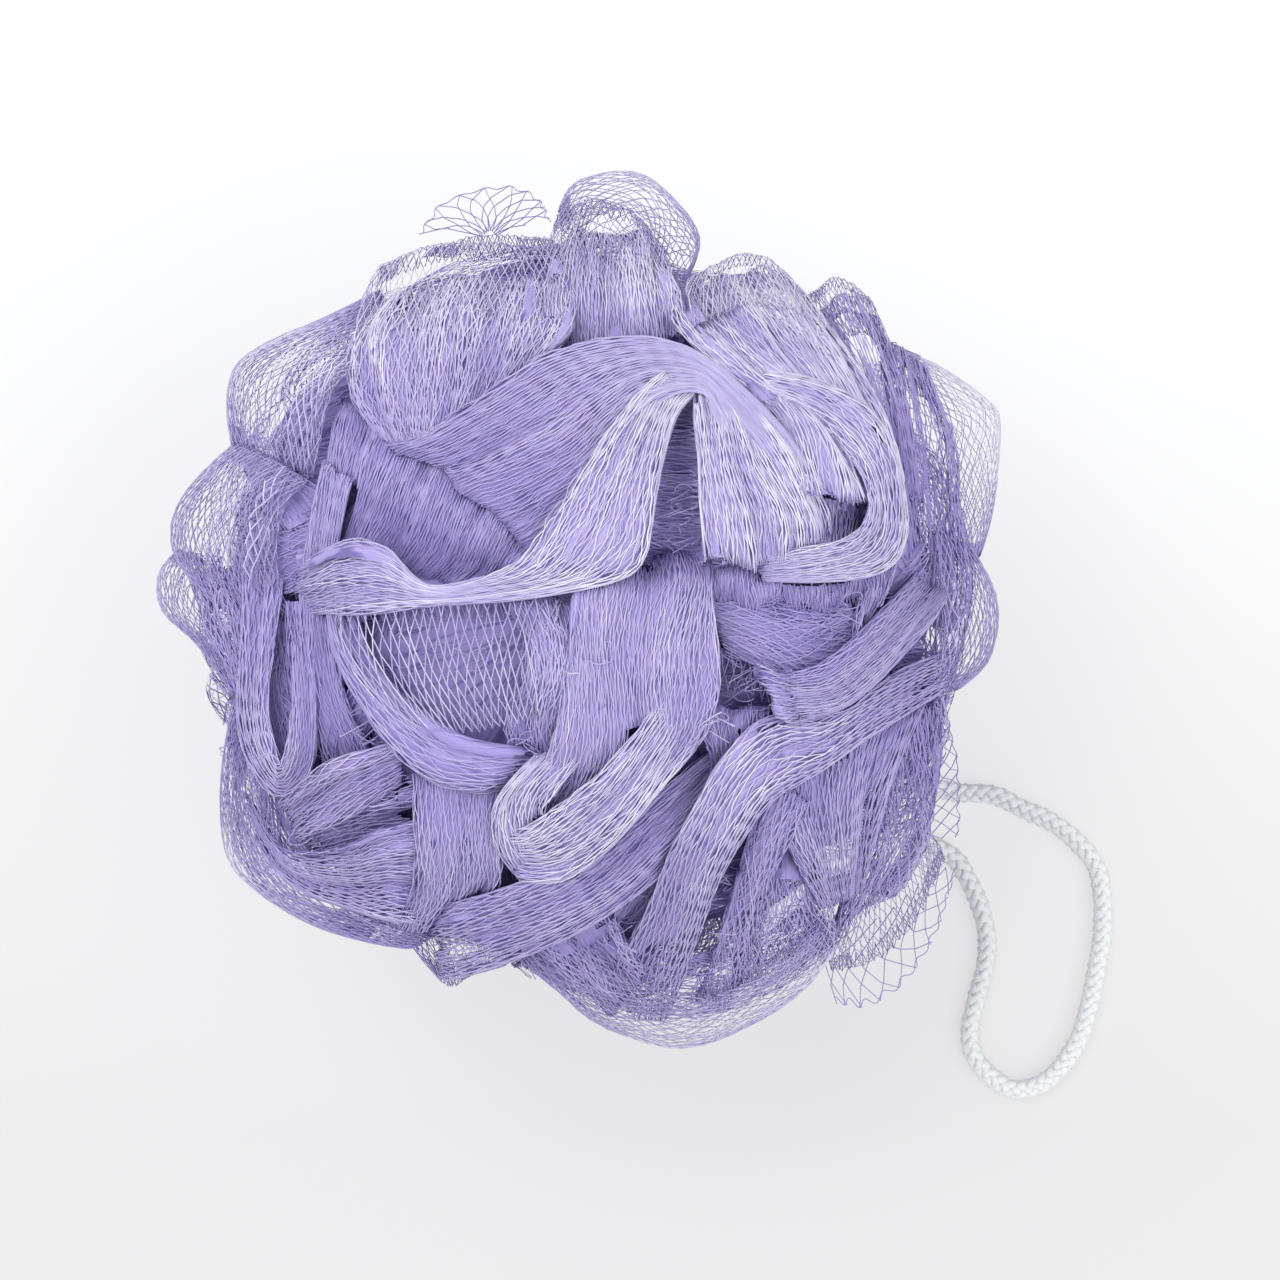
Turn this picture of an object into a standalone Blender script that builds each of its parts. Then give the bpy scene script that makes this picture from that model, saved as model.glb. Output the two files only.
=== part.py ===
"""A mesh bath pouf: one length of net gathered and tied at its waist, whose folds fan out into a ball,
and the white cord that ties it and makes its hanging loop. Metres, +Z up, lying on its flattened underside."""

import math

import bmesh
import bpy
import numpy as np
from mathutils import Vector

# Driving sizes of the ball
POUF_DIAMETER = 0.1345
POUF_HEIGHT = 0.112
WAIST_HEIGHT = 0.054
FOLD_ROOM = 0.0045
TABLE_CUT = 0.002
INNER_DEPTH = 0.014

# Driving sizes of the folds
FOLD_SAMPLES = 18
FACE_SHARE = 0.11
RIM_DROP = 0.004
TUCK_RADIUS = 0.057
OUTLINE_STEPS = 36
OUTLINE_ROOM = 0.002
LOWER_FOLDS = 34
LOWER_FOLD_LENGTH = 0.058
LOWER_FOLD_WIDTH = 0.020
LOWER_FOLD_DEPTH = 0.012
LOWER_DRAWN_IN = 0.0030
LOWER_LAYERS = 0.0055
FOOT_SQUASH = 0.88
PLEAT_DEPTH = 0.0011
PLEAT_WIDTH = 0.0095

# Driving sizes of the cord
CORD_DIAMETER = 0.0032
CORD_ROOM = 0.0006
TIE_RADIUS = 0.0088
KNOT_RADIUS = 0.0036
SEAT_GAP = 0.0003

# The fold chart was read off the photograph, taken from above. Its unit is a pixel of a 1280 x 1280 frame.
CHART_CENTRE = (581, 609)
CHART_DIAMETER = 868
CHART = POUF_DIAMETER / CHART_DIAMETER
DOME_REACH = 1.04
DOME_POWER = 2.4
LIFT = 0.001

# Each fold: how its net lies, how far in millimetres its start, end, near and far edges turn under, and its
# sections in order along the strands. A section is its lift above the dome in millimetres and its points on the chart.
FOLDS = {
    "top_left_lobe": ("open", (6, 6, 5, 14), [
        (-4, [(318, 470), (276, 460), (237, 447)]), (-1, [(322, 435), (275, 420), (232, 400)]),
        (1, [(330, 405), (285, 388), (243, 368)]), (2, [(345, 385), (312, 365), (280, 346)]),
        (0, [(368, 372), (345, 350), (330, 326)]), (-3, [(400, 365), (390, 332), (384, 300)])]),
    "top_fan": ("dense", (9, 13, 7, 4), [
        (-7, [(398, 448), (425, 456), (455, 452), (495, 420)]), (-1, [(370, 400), (420, 398), (470, 392), (525, 378)]),
        (3, [(364, 350), (420, 335), (480, 325), (548, 330)]), (1, [(374, 305), (420, 285), (485, 270), (554, 284)]),
        (-3, [(389, 272), (415, 252), (480, 243), (550, 254)])]),
    "cut_edge_fan": ("cut", (0, 0, 0, 0), [
        (-9, [(484, 238), (491, 233), (498, 237)]),
        (-5, [(420, 238), (448, 203), (500, 188), (536, 200), (552, 227)])]),
    "loop_back": ("open", (3, 3, 2, 8), [
        (-7, [(585, 250), (572, 236), (560, 222)]), (-7, [(602, 222), (594, 202), (583, 184)]),
        (-7, [(630, 210), (634, 190), (638, 171)]), (-7, [(655, 225), (668, 208), (676, 205)]),
        (-8, [(660, 250), (680, 245), (698, 240)]), (-8, [(652, 292), (662, 290), (674, 288)])]),
    "loop_front": ("dense", (6, 9, 3, 4), [
        (-4, [(560, 362), (620, 352), (660, 348), (688, 344)]), (2, [(552, 310), (590, 285), (632, 285), (674, 305)]),
        (0, [(552, 260), (582, 232), (625, 230), (664, 268)]), (-3, [(557, 230), (588, 206), (625, 216), (662, 254)])]),
    "upper_right_fan": ("dense", (8, 10, 3, 5), [
        (-9, [(880, 480), (898, 488), (915, 498)]), (-3, [(848, 400), (872, 398), (902, 410)]),
        (-2, [(822, 340), (850, 322), (884, 350)]), (-5, [(808, 302), (838, 281), (870, 303)])]),
    "top_right_fan": ("dense", (8, 12, 4, 5), [
        (-4, [(730, 400), (775, 402), (822, 425), (876, 458)]), (3, [(702, 355), (752, 342), (802, 352), (852, 400)]),
        (2, [(682, 322), (735, 292), (780, 292), (828, 340)]), (-2, [(690, 292), (738, 258), (768, 262), (804, 302)])]),
    "arch": ("dense", (6, 4, 10, 9), [
        (-6, [(392, 446), (440, 474), (488, 514), (542, 574)]), (-2, [(432, 446), (478, 456), (530, 480), (576, 525)]),
        (2, [(500, 405), (528, 425), (558, 450), (588, 488)]), (4, [(560, 366), (582, 388), (600, 412), (614, 442)]),
        (5, [(628, 349), (638, 366), (645, 384), (650, 402)]), (5, [(688, 358), (688, 372), (686, 388), (682, 404)]),
        (3, [(732, 392), (715, 398), (702, 404), (690, 412)])]),
    "left_leaf": ("dense", (4, 5, 6, 3), [
        (-3, [(350, 414), (400, 449), (440, 474), (488, 512), (542, 570)]),
        (-4, [(346, 452), (388, 486), (430, 520), (472, 550), (517, 583)]),
        (-6, [(342, 492), (370, 520), (405, 548), (445, 572), (490, 592)]),
        (-9, [(340, 540), (356, 552), (382, 564), (415, 580), (450, 594)])]),
    "light_band": ("dense", (5, 7, 6, 8), [
        (4, [(676, 396), (684, 402), (690, 412)]), (5, [(640, 404), (652, 418), (662, 440)]),
        (5, [(596, 470), (625, 482), (652, 496)]), (4, [(560, 524), (590, 544), (628, 566)]),
        (1, [(515, 572), (530, 586), (548, 600)]), (-1, [(450, 584), (455, 593), (460, 602)]),
        (1, [(405, 556), (400, 580), (402, 608)]), (-2, [(352, 560), (338, 585), (346, 608)])]),
    "swirl_sheet": ("dense", (4, 7, 6, 3), [
        (4, [(690, 398), (715, 393), (745, 402)]), (5, [(690, 440), (722, 440), (768, 442)]),
        (5, [(690, 490), (730, 490), (792, 488)]), (4, [(694, 530), (745, 530), (818, 536)]),
        (0, [(700, 562), (762, 568), (842, 572)])]),
    "swirl_roll": ("dense", (4, 6, 6, 10), [
        (4, [(712, 398), (722, 388), (730, 376)]), (5, [(758, 418), (772, 404), (784, 390)]),
        (5, [(802, 448), (822, 428), (840, 410)]), (5, [(834, 486), (858, 466), (880, 448)]),
        (4, [(850, 515), (872, 508), (895, 500)]), (3, [(846, 538), (868, 545), (893, 546)]),
        (1, [(820, 550), (838, 564), (860, 578)]), (-3, [(780, 562), (788, 574), (798, 588)])]),
    "basket": ("loose", (4, 8, 4, 5), [
        (-4, [(350, 588), (420, 588), (500, 590), (570, 580)]), (-1, [(345, 612), (420, 604), (500, 604), (570, 606)]), (0, [(352, 642), (420, 655), (500, 660), (568, 650)]),
        (0, [(384, 695), (435, 714), (500, 720), (552, 706)]), (-3, [(408, 736), (450, 764), (498, 777), (528, 764)])]),
    "centre_flow": ("dense", (5, 8, 6, 8), [
        (-5, [(600, 560), (645, 556), (706, 562)]), (-1, [(590, 590), (640, 582), (708, 588)]), (1, [(572, 640), (636, 640), (716, 645)]),
        (2, [(556, 700), (628, 710), (706, 710)]), (0, [(540, 756), (600, 766), (672, 756)]),
        (-5, [(520, 800), (570, 816), (620, 810)])]),
    "roll_spindle": ("dense", (5, 5, 8, 8), [
        (1, [(668, 706), (682, 726), (694, 745)]), (3, [(606, 762), (634, 784), (660, 800)]),
        (3, [(552, 806), (582, 830), (606, 848)]), (1, [(512, 820), (528, 848), (548, 868)]),
        (-3, [(500, 812), (504, 840), (514, 862)])]),
    "spindle_curl": ("dense", (5, 5, 5, 4), [
        (-2, [(556, 742), (546, 752), (540, 768)]), (1, [(530, 762), (518, 776), (516, 790)]),
        (1, [(512, 786), (502, 804), (510, 820)]), (-1, [(500, 820), (503, 845), (518, 856)])]),
    "long_band": ("dense", (6, 8, 6, 7), [
        (-5, [(706, 750), (718, 762), (732, 776)]), (-2, [(640, 800), (655, 820), (676, 846)]),
        (0, [(562, 866), (582, 884), (602, 906)]), (1, [(500, 884), (516, 912), (528, 940)]),
        (-2, [(455, 890), (460, 930), (466, 966)])]),
    "front_flap": ("dense", (4, 6, 7, 6), [
        (-2, [(424, 777), (465, 775), (514, 778)]), (0, [(424, 830), (462, 834), (504, 834)]),
        (-1, [(418, 880), (448, 886), (478, 880)]), (-5, [(398, 918), (424, 926), (452, 914)])]),
    "left_light_flap": ("dense", (5, 5, 7, 7), [
        (-6, [(256, 792), (264, 812), (268, 836)]), (-3, [(296, 846), (300, 866), (302, 886)]),
        (-2, [(358, 834), (362, 868), (366, 906)]), (-4, [(426, 798), (428, 852), (424, 912)])]),
    "left_spindle": ("dense", (5, 6, 7, 7), [
        (-4, [(400, 752), (402, 764), (402, 778)]), (-1, [(344, 762), (352, 784), (358, 808)]),
        (-5, [(292, 800), (298, 816), (306, 832)])]),
    "hook_fold": ("dense", (6, 5, 7, 7), [
        (-4, [(266, 586), (282, 584), (298, 590)]), (-3, [(252, 650), (268, 650), (288, 652)]),
        (-2, [(246, 700), (262, 702), (282, 706)]), (-2, [(254, 750), (270, 748), (286, 738)]),
        (-2, [(288, 794), (292, 780), (296, 762)]), (-3, [(322, 768), (314, 752), (304, 738)]),
        (-4, [(326, 708), (316, 702), (306, 700)]), (-6, [(326, 640), (316, 640), (308, 640)])]),
    "left_column": ("dense", (5, 5, 5, 5), [
        (-4, [(336, 480), (352, 486), (366, 496)]), (-5, [(322, 545), (336, 550), (352, 550)]),
        (-6, [(318, 600), (330, 606), (346, 606)]), (-6, [(322, 680), (336, 690), (356, 700)]),
        (-8, [(320, 752), (340, 756), (372, 752)])]),
    "left_pocket": ("loose", (4, 5, 5, 4), [
        (-7, [(330, 470), (326, 520), (322, 580)]), (-4, [(292, 476), (286, 525), (290, 588)]),
        (-6, [(252, 476), (246, 520), (256, 590)])]),
    "left_upper_lobe": ("open", (5, 5, 4, 10), [
        (-3, [(316, 482), (282, 458), (247, 448)]), (-1, [(296, 500), (252, 482), (220, 469)]),
        (-1, [(286, 530), (236, 512), (192, 498)]), (-2, [(285, 560), (228, 546), (177, 530)]),
        (-4, [(290, 590), (236, 582), (183, 562)]), (-6, [(300, 615), (260, 622), (214, 600)])]),
    "left_mid_lobe": ("open", (4, 4, 3, 7), [
        (-8, [(205, 560), (192, 553), (180, 550)]), (-7, [(208, 585), (184, 580), (161, 574)]),
        (-7, [(216, 618), (190, 616), (165, 610)]), (-7, [(240, 655), (222, 652), (200, 646)]),
        (-7, [(262, 690), (250, 694), (238, 692)])]),
    "lower_left_rim": ("open", (5, 5, 4, 11), [
        (-5, [(272, 698), (256, 700), (243, 700)]), (-4, [(272, 750), (252, 750), (232, 750)]),
        (-4, [(275, 800), (250, 802), (225, 803)]), (-4, [(286, 842), (258, 850), (230, 856)]),
        (-4, [(312, 872), (285, 884), (256, 888)]), (-4, [(352, 896), (332, 910), (312, 921)]),
        (-5, [(400, 915), (386, 928), (372, 937)]), (-6, [(440, 930), (426, 938), (413, 944)])]),
    "bottom_tip": ("open", (4, 5, 3, 3), [
        (-8, [(412, 915), (440, 912), (500, 935)]), (-8, [(420, 944), (452, 945), (510, 955)]),
        (-10, [(438, 972), (452, 982), (474, 970)])]),
    "bottom_rim": ("open", (6, 6, 4, 12), [
        (-6, [(560, 900), (540, 925), (520, 950)]), (-3, [(600, 940), (580, 962), (560, 985)]),
        (-2, [(640, 980), (622, 1002), (604, 1022)]), (-2, [(690, 998), (686, 1024), (682, 1048)]),
        (-2, [(745, 982), (748, 1002), (752, 1022)]), (-3, [(788, 950), (796, 970), (804, 986)]),
        (-6, [(820, 915), (828, 930), (836, 946)])]),
    "bottom_fan": ("dense", (4, 6, 4, 4), [
        (-8, [(560, 900), (590, 920), (620, 940)]), (-4, [(545, 925), (590, 955), (640, 975)]),
        (-5, [(560, 970), (595, 990), (640, 1010)])]),
    "centre_band": ("dense", (5, 6, 6, 6), [
        (-3, [(735, 760), (762, 764), (788, 774)]), (0, [(688, 832), (714, 838), (744, 846)]),
        (0, [(652, 905), (680, 914), (708, 920)]), (-4, [(606, 985), (640, 996), (672, 1000)])]),
    "right_band": ("loose", (5, 6, 5, 5), [
        (-5, [(790, 800), (802, 806), (815, 810)]), (-3, [(748, 856), (766, 862), (784, 868)]),
        (-3, [(722, 926), (742, 934), (762, 940)]), (-6, [(690, 992), (712, 1000), (735, 1000)])]),
    "broad_sheet": ("dense", (6, 5, 7, 6), [
        (-5, [(936, 652), (940, 672), (938, 694)]), (-1, [(866, 676), (874, 700), (880, 724)]),
        (1, [(795, 712), (802, 738), (800, 768)]), (0, [(716, 706), (728, 742), (748, 790)]),
        (-5, [(692, 716), (694, 742), (700, 776)])]),
    "right_tube": ("dense", (5, 5, 7, 7), [
        (-5, [(764, 672), (776, 694), (800, 714)]), (-1, [(812, 670), (828, 688), (842, 698)]),
        (-1, [(850, 640), (866, 652), (882, 662)]), (-3, [(886, 600), (904, 612), (918, 620)]),
        (-6, [(905, 582), (920, 590), (936, 598)])]),
    "slit_wall": ("dense", (4, 4, 4, 4), [
        (-3, [(664, 404), (676, 400), (694, 402)]), (-4, [(650, 450), (672, 450), (696, 450)]),
        (-6, [(640, 510), (668, 510), (700, 510)]), (-9, [(630, 560), (665, 562), (705, 562)])]),
    "bowl": ("dense", (4, 6, 4, 6), [
        (-5, [(696, 540), (756, 548), (812, 552), (870, 560)]),
        (-5, [(698, 572), (758, 582), (814, 588), (868, 592)]), (-4, [(702, 598), (750, 620), (806, 634), (862, 622)]),
        (-3, [(716, 624), (756, 650), (804, 668), (852, 646)]), (-6, [(722, 640), (760, 668), (805, 684), (846, 664)])]),
    "right_folds": ("dense", (5, 5, 6, 6), [
        (-6, [(862, 568), (880, 560), (900, 556)]), (-4, [(846, 612), (858, 606), (874, 600)]),
        (-6, [(836, 650), (846, 646), (856, 640)])]),
    "vertical_fan": ("dense", (5, 5, 6, 6), [
        (-5, [(770, 800), (820, 768), (882, 742)]), (-2, [(784, 840), (826, 822), (874, 806)]),
        (-3, [(804, 890), (832, 880), (862, 870)]), (-8, [(824, 946), (834, 944), (846, 938)])]),
    "lower_right_dark": ("loose", (5, 6, 4, 5), [
        (-8, [(872, 742), (896, 728), (926, 712)]), (-7, [(872, 800), (898, 792), (926, 786)]),
        (-8, [(858, 860), (890, 850), (922, 842)]), (-11, [(838, 920), (872, 905), (905, 885)])]),
    "lower_right_mesh": ("loose", (5, 6, 5, 5), [
        (-10, [(752, 840), (785, 845), (812, 866)]), (-5, [(745, 915), (785, 912), (822, 905)]),
        (-7, [(745, 985), (795, 965), (834, 935)])]),
    "right_column": ("dense", (5, 5, 6, 6), [
        (-7, [(888, 372), (905, 376), (922, 390)]), (-7, [(896, 440), (912, 445), (934, 450)]),
        (-8, [(905, 510), (922, 516), (945, 520)]), (-10, [(912, 580), (930, 584), (952, 590)])]),
    "right_open_lobe": ("open", (3, 4, 4, 7), [
        (-7, [(905, 366), (900, 357), (895, 348)]), (-7, [(930, 398), (936, 384), (944, 370)]),
        (-6, [(945, 425), (968, 412), (990, 400)]), (-6, [(945, 446), (972, 434), (1000, 420)]),
        (-7, [(945, 500), (972, 494), (997, 486)]), (-7, [(945, 535), (966, 530), (990, 524)]),
        (-8, [(955, 562), (966, 562), (979, 560)])]),
    "right_lobe": ("open", (5, 5, 4, 9), [
        (-8, [(925, 548), (948, 546), (972, 556)]), (-6, [(930, 590), (960, 582), (990, 586)]),
        (-5, [(932, 625), (964, 622), (995, 620)]), (-5, [(928, 662), (956, 664), (982, 662)]),
        (-6, [(912, 690), (932, 692), (955, 688)])]),
    "right_fringe": ("cut", (0, 0, 0, 0), [
        (-12, [(924, 702), (927, 750), (925, 800), (922, 850)]),
        (-14, [(936, 698), (953, 745), (962, 790), (963, 840)])]),
    "lower_right_fringe": ("cut", (0, 0, 0, 0), [
        (-12, [(836, 930), (880, 915), (922, 880), (942, 845)]),
        (-14, [(826, 985), (858, 1012), (905, 985), (940, 935), (962, 865)])]),
}

# The cord's route past the netting: points in plan, in metres, where it lies on the table
LOOP_ROUTE = [
    (0.0606, -0.0297), (0.0670, -0.0302), (0.0719, -0.0325), (0.0767, -0.0347), (0.0807, -0.0378),
    (0.0839, -0.0418), (0.0849, -0.0466), (0.0850, -0.0523), (0.0842, -0.0579), (0.0831, -0.0635),
    (0.0815, -0.0692), (0.0788, -0.0740), (0.0751, -0.0775), (0.0706, -0.0785), (0.0667, -0.0764),
    (0.0638, -0.0727), (0.0633, -0.0684), (0.0644, -0.0635), (0.0657, -0.0587), (0.0661, -0.0539),
    (0.0651, -0.0490), (0.0630, -0.0442), (0.0598, -0.0399)]
# Its two legs from the knot to the table, in metres
UPPER_LEG = [(0.0130, -0.0048, 0.0520), (0.0235, -0.0095, 0.0400), (0.0345, -0.0170, 0.0235),
             (0.0440, -0.0235, 0.0110), (0.0520, -0.0275, 0.0045)]
LOWER_LEG = [(0.0110, -0.0088, 0.0510), (0.0180, -0.0190, 0.0380), (0.0290, -0.0270, 0.0225),
             (0.0410, -0.0325, 0.0110), (0.0505, -0.0358, 0.0045)]


def remove_everything():
    """Leaves the scene empty."""
    for thing in list(bpy.data.objects):
        bpy.data.objects.remove(thing, do_unlink=True)


def new_collection(name):
    made = bpy.data.collections.new(name)
    bpy.context.scene.collection.children.link(made)
    return made


def plastic(name, colour, roughness):
    """A plain material with the part's colour."""
    made = bpy.data.materials.new(name)
    made.use_nodes = True
    shader = made.node_tree.nodes["Principled BSDF"]
    shader.inputs["Base Color"].default_value = (*colour, 1)
    shader.inputs["Roughness"].default_value = roughness
    shader.inputs["Metallic"].default_value = 0
    return made


def object_from(name, mesh, collection, material=None):
    made = bpy.data.objects.new(name, mesh)
    collection.objects.link(made)
    if material:
        mesh.materials.append(material)
    return made


def make_helper(thing):
    """A cutter or a guide shows as wires and isn't part of the object."""
    thing.hide_render = True
    thing.display_type = "WIRE"
    return thing


def dome(across, along):
    """Height of the ball's upper outline above its waist, at a place in plan."""
    reach = DOME_REACH * POUF_DIAMETER / 2
    share = min(1.0, math.hypot(across, along) / reach)
    return (POUF_HEIGHT - WAIST_HEIGHT - FOLD_ROOM) * (1 - share ** DOME_POWER)


def chart_point(right, down, lift):
    """A point of the fold chart, in metres."""
    across = (right - CHART_CENTRE[0]) * CHART
    along = (CHART_CENTRE[1] - down) * CHART
    return np.array([across, along, WAIST_HEIGHT + dome(across, along) + lift * LIFT])


def smooth_line(points, count):
    """Count points, evenly spread in number, on a Catmull-Rom curve through these."""
    points = np.asarray(points, float)
    ends = [2 * points[0] - points[1]], [2 * points[-1] - points[-2]]
    padded = np.concatenate([ends[0], points, ends[1]])
    place = np.linspace(0, len(points) - 1, count)
    first = np.minimum(place.astype(int), len(points) - 2)
    t = (place - first).reshape(-1, *[1] * (points.ndim - 1))
    before, here, there, after = (padded[first + k] for k in range(4))
    return 0.5 * (2 * here + (there - before) * t + (2 * before - 5 * here + 4 * there - after) * t ** 2
                  + (3 * here - before - 3 * there + after) * t ** 3)


def lowered(point, towards, share, drop):
    """A point moved a share of the way towards another in plan, and lowered."""
    moved = point + (towards - point) * share
    moved[..., 2] = point[..., 2] - drop
    return moved


def turned_under(edge, inner, depth):
    """The points that carry a sheet past its edge, down and back under it."""
    if depth == 0:
        return []
    return [lowered(edge, inner, 0.06, 0.5 * depth), lowered(edge, inner, 0.5, depth)]


def tucked_in(edge, inner, depth):
    """The points that carry a rim past the ball's outline, down and back in to the lower folds."""
    axis = np.zeros(3)
    share = max(0.0, 1 - TUCK_RADIUS / math.hypot(edge[0], edge[1]))
    drop = depth + RIM_DROP
    return [lowered(edge, inner, 0.06, 0.4 * drop), lowered(edge, axis, 0.3 * share, 0.8 * drop),
            lowered(edge, axis, share, 1.1 * drop)]


def fold_sheet(kind, dives, sections):
    """A fold's sheet as rows of points: along the strands by across them, its edges turned under."""
    start, end, near, far = (depth * LIFT for depth in dives)
    far_turn = tucked_in if kind == "open" else turned_under
    rows = []
    for lift, outline in sections:
        line = [chart_point(right, down, lift) for right, down in outline]
        near_edge = turned_under(line[0], line[1], near)[::-1]
        far_edge = far_turn(line[-1], line[-2], far)
        rows.append(smooth_line([*near_edge, *line, *far_edge], FOLD_SAMPLES))
    first = turned_under(rows[0], rows[1], start)[::-1]
    last = turned_under(rows[-1], rows[-2], end)
    return pleated(smooth_line(np.array([*first, *rows, *last]), FOLD_SAMPLES))


def pleated(rows):
    """The sheet with the shallow pleats that run along its strands."""
    along = np.gradient(rows, axis=0)
    across = np.gradient(rows, axis=1)
    normal = np.cross(along, across)
    normal /= np.linalg.norm(normal, axis=2, keepdims=True) + 1e-12
    widths = np.linalg.norm(across, axis=2).sum(axis=1)
    waves = max(1, round(float(widths.max()) / PLEAT_WIDTH))
    place = np.linspace(0, 2 * math.pi * waves, rows.shape[1])
    grown = widths / widths.max()
    return rows + normal * PLEAT_DEPTH * (grown[:, None] * np.sin(place)[None, :])[..., None]


def outline_reach():
    """How far the chart's folds reach from the centre in plan, in each of a ring of directions."""
    points = np.array([chart_point(right, down, lift) for _, _, sections in FOLDS.values()
                       for lift, outline in sections for right, down in outline])
    turns = np.arctan2(points[:, 1], points[:, 0])
    reach = np.hypot(points[:, 0], points[:, 1])
    step = 2 * math.pi / OUTLINE_STEPS
    return [reach[np.cos(turns - k * step) > math.cos(step)].max() for k in range(OUTLINE_STEPS)]


REACH = outline_reach()


def ball_point(turn, rise, radius):
    """A point at an azimuth and an elevation, in radians, from the waist's centre. The lower half is squashed,
    and stays inside the outline."""
    room = np.interp(turn, np.linspace(0, 2 * math.pi, OUTLINE_STEPS + 1), [*REACH, REACH[0]], period=2 * math.pi)
    flat = min(radius * math.cos(rise), room - OUTLINE_ROOM)
    return np.array([flat * math.cos(turn), flat * math.sin(turn),
                     WAIST_HEIGHT + FOOT_SQUASH * radius * math.sin(rise)])


def lower_fold(number):
    """A fold of the lower half, which fans out from one end to the other. The folds follow a spiral down,
    some of them drawn further in than others."""
    share = (number + 0.5) / LOWER_FOLDS
    rise = -math.asin(0.06 + 0.90 * share)
    turn = number * math.pi * (3 - math.sqrt(5))
    heading = 2.1 * number
    bend = 0.9 * math.sin(1.3 * number)
    length = LOWER_FOLD_LENGTH * (1 + 0.15 * math.sin(2.9 * number))
    width = LOWER_FOLD_WIDTH * (1 + 0.15 * math.cos(1.7 * number))
    layer = LOWER_LAYERS * (0.618 * number % 1)
    crest = POUF_DIAMETER / 2 - LOWER_DRAWN_IN - layer
    rows = []
    for step, sink in ((-0.52, 1.0), (-0.5, 0.45), (-0.2, 0.1), (0.15, 0.0), (0.5, 0.35), (0.54, 1.0)):
        way = heading + bend * step
        spread = width * (0.9 + 0.6 * step)
        line = []
        for side, drop in ((-0.42, 1.0), (-0.5, 0.5), (-0.3, 0.13), (0, 0), (0.3, 0.13), (0.5, 0.5), (0.42, 1.0)):
            ahead = length * step * math.cos(way) - spread * side * math.sin(way)
            aside = length * step * math.sin(way) + spread * side * math.cos(way)
            depth = LOWER_FOLD_DEPTH * max(sink, drop)
            place = rise + aside / crest
            line.append(ball_point(turn + ahead / (crest * max(0.35, math.cos(rise))), place, crest - depth))
        rows.append(smooth_line(line, FOLD_SAMPLES))
    return smooth_line(np.array(rows), FOLD_SAMPLES)


def lower_folds():
    """The folds of the lower half."""
    return [lower_fold(number) for number in range(LOWER_FOLDS)]


def sheet_mesh(name, sheets):
    """One open mesh of all the sheets."""
    form = bmesh.new()
    for rows in sheets:
        grid = [[form.verts.new(point) for point in row] for row in rows]
        for lower, upper in zip(grid, grid[1:]):
            for k in range(len(lower) - 1):
                form.faces.new((lower[k], lower[k + 1], upper[k + 1], upper[k]))
    mesh = bpy.data.meshes.new(name)
    form.to_mesh(mesh)
    form.free()
    return mesh


def inner_ball(helpers):
    """The packed inner folds that the outer ones stand on, as an ellipsoid."""
    bpy.ops.mesh.primitive_uv_sphere_add(segments=48, ring_count=24, radius=1, location=(0, 0, WAIST_HEIGHT))
    ball = bpy.context.object
    side = POUF_DIAMETER / 2 - INNER_DEPTH
    ball.scale = (side, side, WAIST_HEIGHT + TABLE_CUT)
    bpy.ops.object.transform_apply(location=True, rotation=False, scale=True)
    for vertex in ball.data.vertices:
        above = vertex.co.z - WAIST_HEIGHT
        if above > 0:
            vertex.co.z = WAIST_HEIGHT + above * (POUF_HEIGHT - WAIST_HEIGHT - 0.022) / (WAIST_HEIGHT + TABLE_CUT)
    for owner in list(ball.users_collection):
        owner.objects.unlink(ball)
    helpers.objects.link(ball)
    return make_helper(ball)


def fold_guide(helpers):
    """Every fold's sheet and the inner ball, as the guide that the netting is wrapped onto."""
    sheets = [fold_sheet(*fold) for fold in FOLDS.values()] + lower_folds()
    guide = make_helper(object_from("fold_guide", sheet_mesh("fold_guide", sheets), helpers))
    ball = inner_ball(helpers)
    for thing in (guide, ball):
        thing.select_set(True)
    bpy.context.view_layer.objects.active = guide
    bpy.ops.object.join()
    return guide


def netting_mesh(guide):
    """A ball wrapped inwards onto the folds and thinned to what its form needs."""
    bpy.ops.mesh.primitive_ico_sphere_add(subdivisions=7, radius=POUF_DIAMETER,
                                          location=(0, 0, WAIST_HEIGHT))
    ball = bpy.context.object
    bpy.ops.object.transform_apply(location=True, rotation=False, scale=False)
    wrap = ball.modifiers.new("wrap onto the folds", "SHRINKWRAP")
    wrap.target = guide
    wrap.wrap_method = "PROJECT"
    wrap.use_negative_direction = True
    wrap.use_positive_direction = False
    ease = ball.modifiers.new("ease the steps", "SMOOTH")
    ease.factor = 0.5
    ease.iterations = 3
    thin = ball.modifiers.new("thin the flats", "DECIMATE")
    thin.ratio = FACE_SHARE
    graph = bpy.context.evaluated_depsgraph_get()
    mesh = bpy.data.meshes.new_from_object(ball.evaluated_get(graph))
    bpy.data.objects.remove(ball, do_unlink=True)
    return mesh


def centre_in_plan(mesh):
    """Moves the netting in plan so that its outline is centred on the origin."""
    sides = [[vertex.co[k] for vertex in mesh.vertices] for k in (0, 1)]
    shift = [-(min(side) + max(side)) / 2 for side in sides]
    for vertex in mesh.vertices:
        vertex.co.x += shift[0]
        vertex.co.y += shift[1]


def cord_curve(name, points, radius, collection):
    """A round tube along these points."""
    data = bpy.data.curves.new(name, "CURVE")
    data.dimensions = "3D"
    data.bevel_depth = radius
    data.bevel_resolution = 2
    data.use_fill_caps = True
    spline = data.splines.new("POLY")
    spline.points.add(len(points) - 1)
    for slot, point in zip(spline.points, points):
        slot.co = (*point, 1)
    made = bpy.data.objects.new(name, data)
    collection.objects.link(made)
    return made


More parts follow.
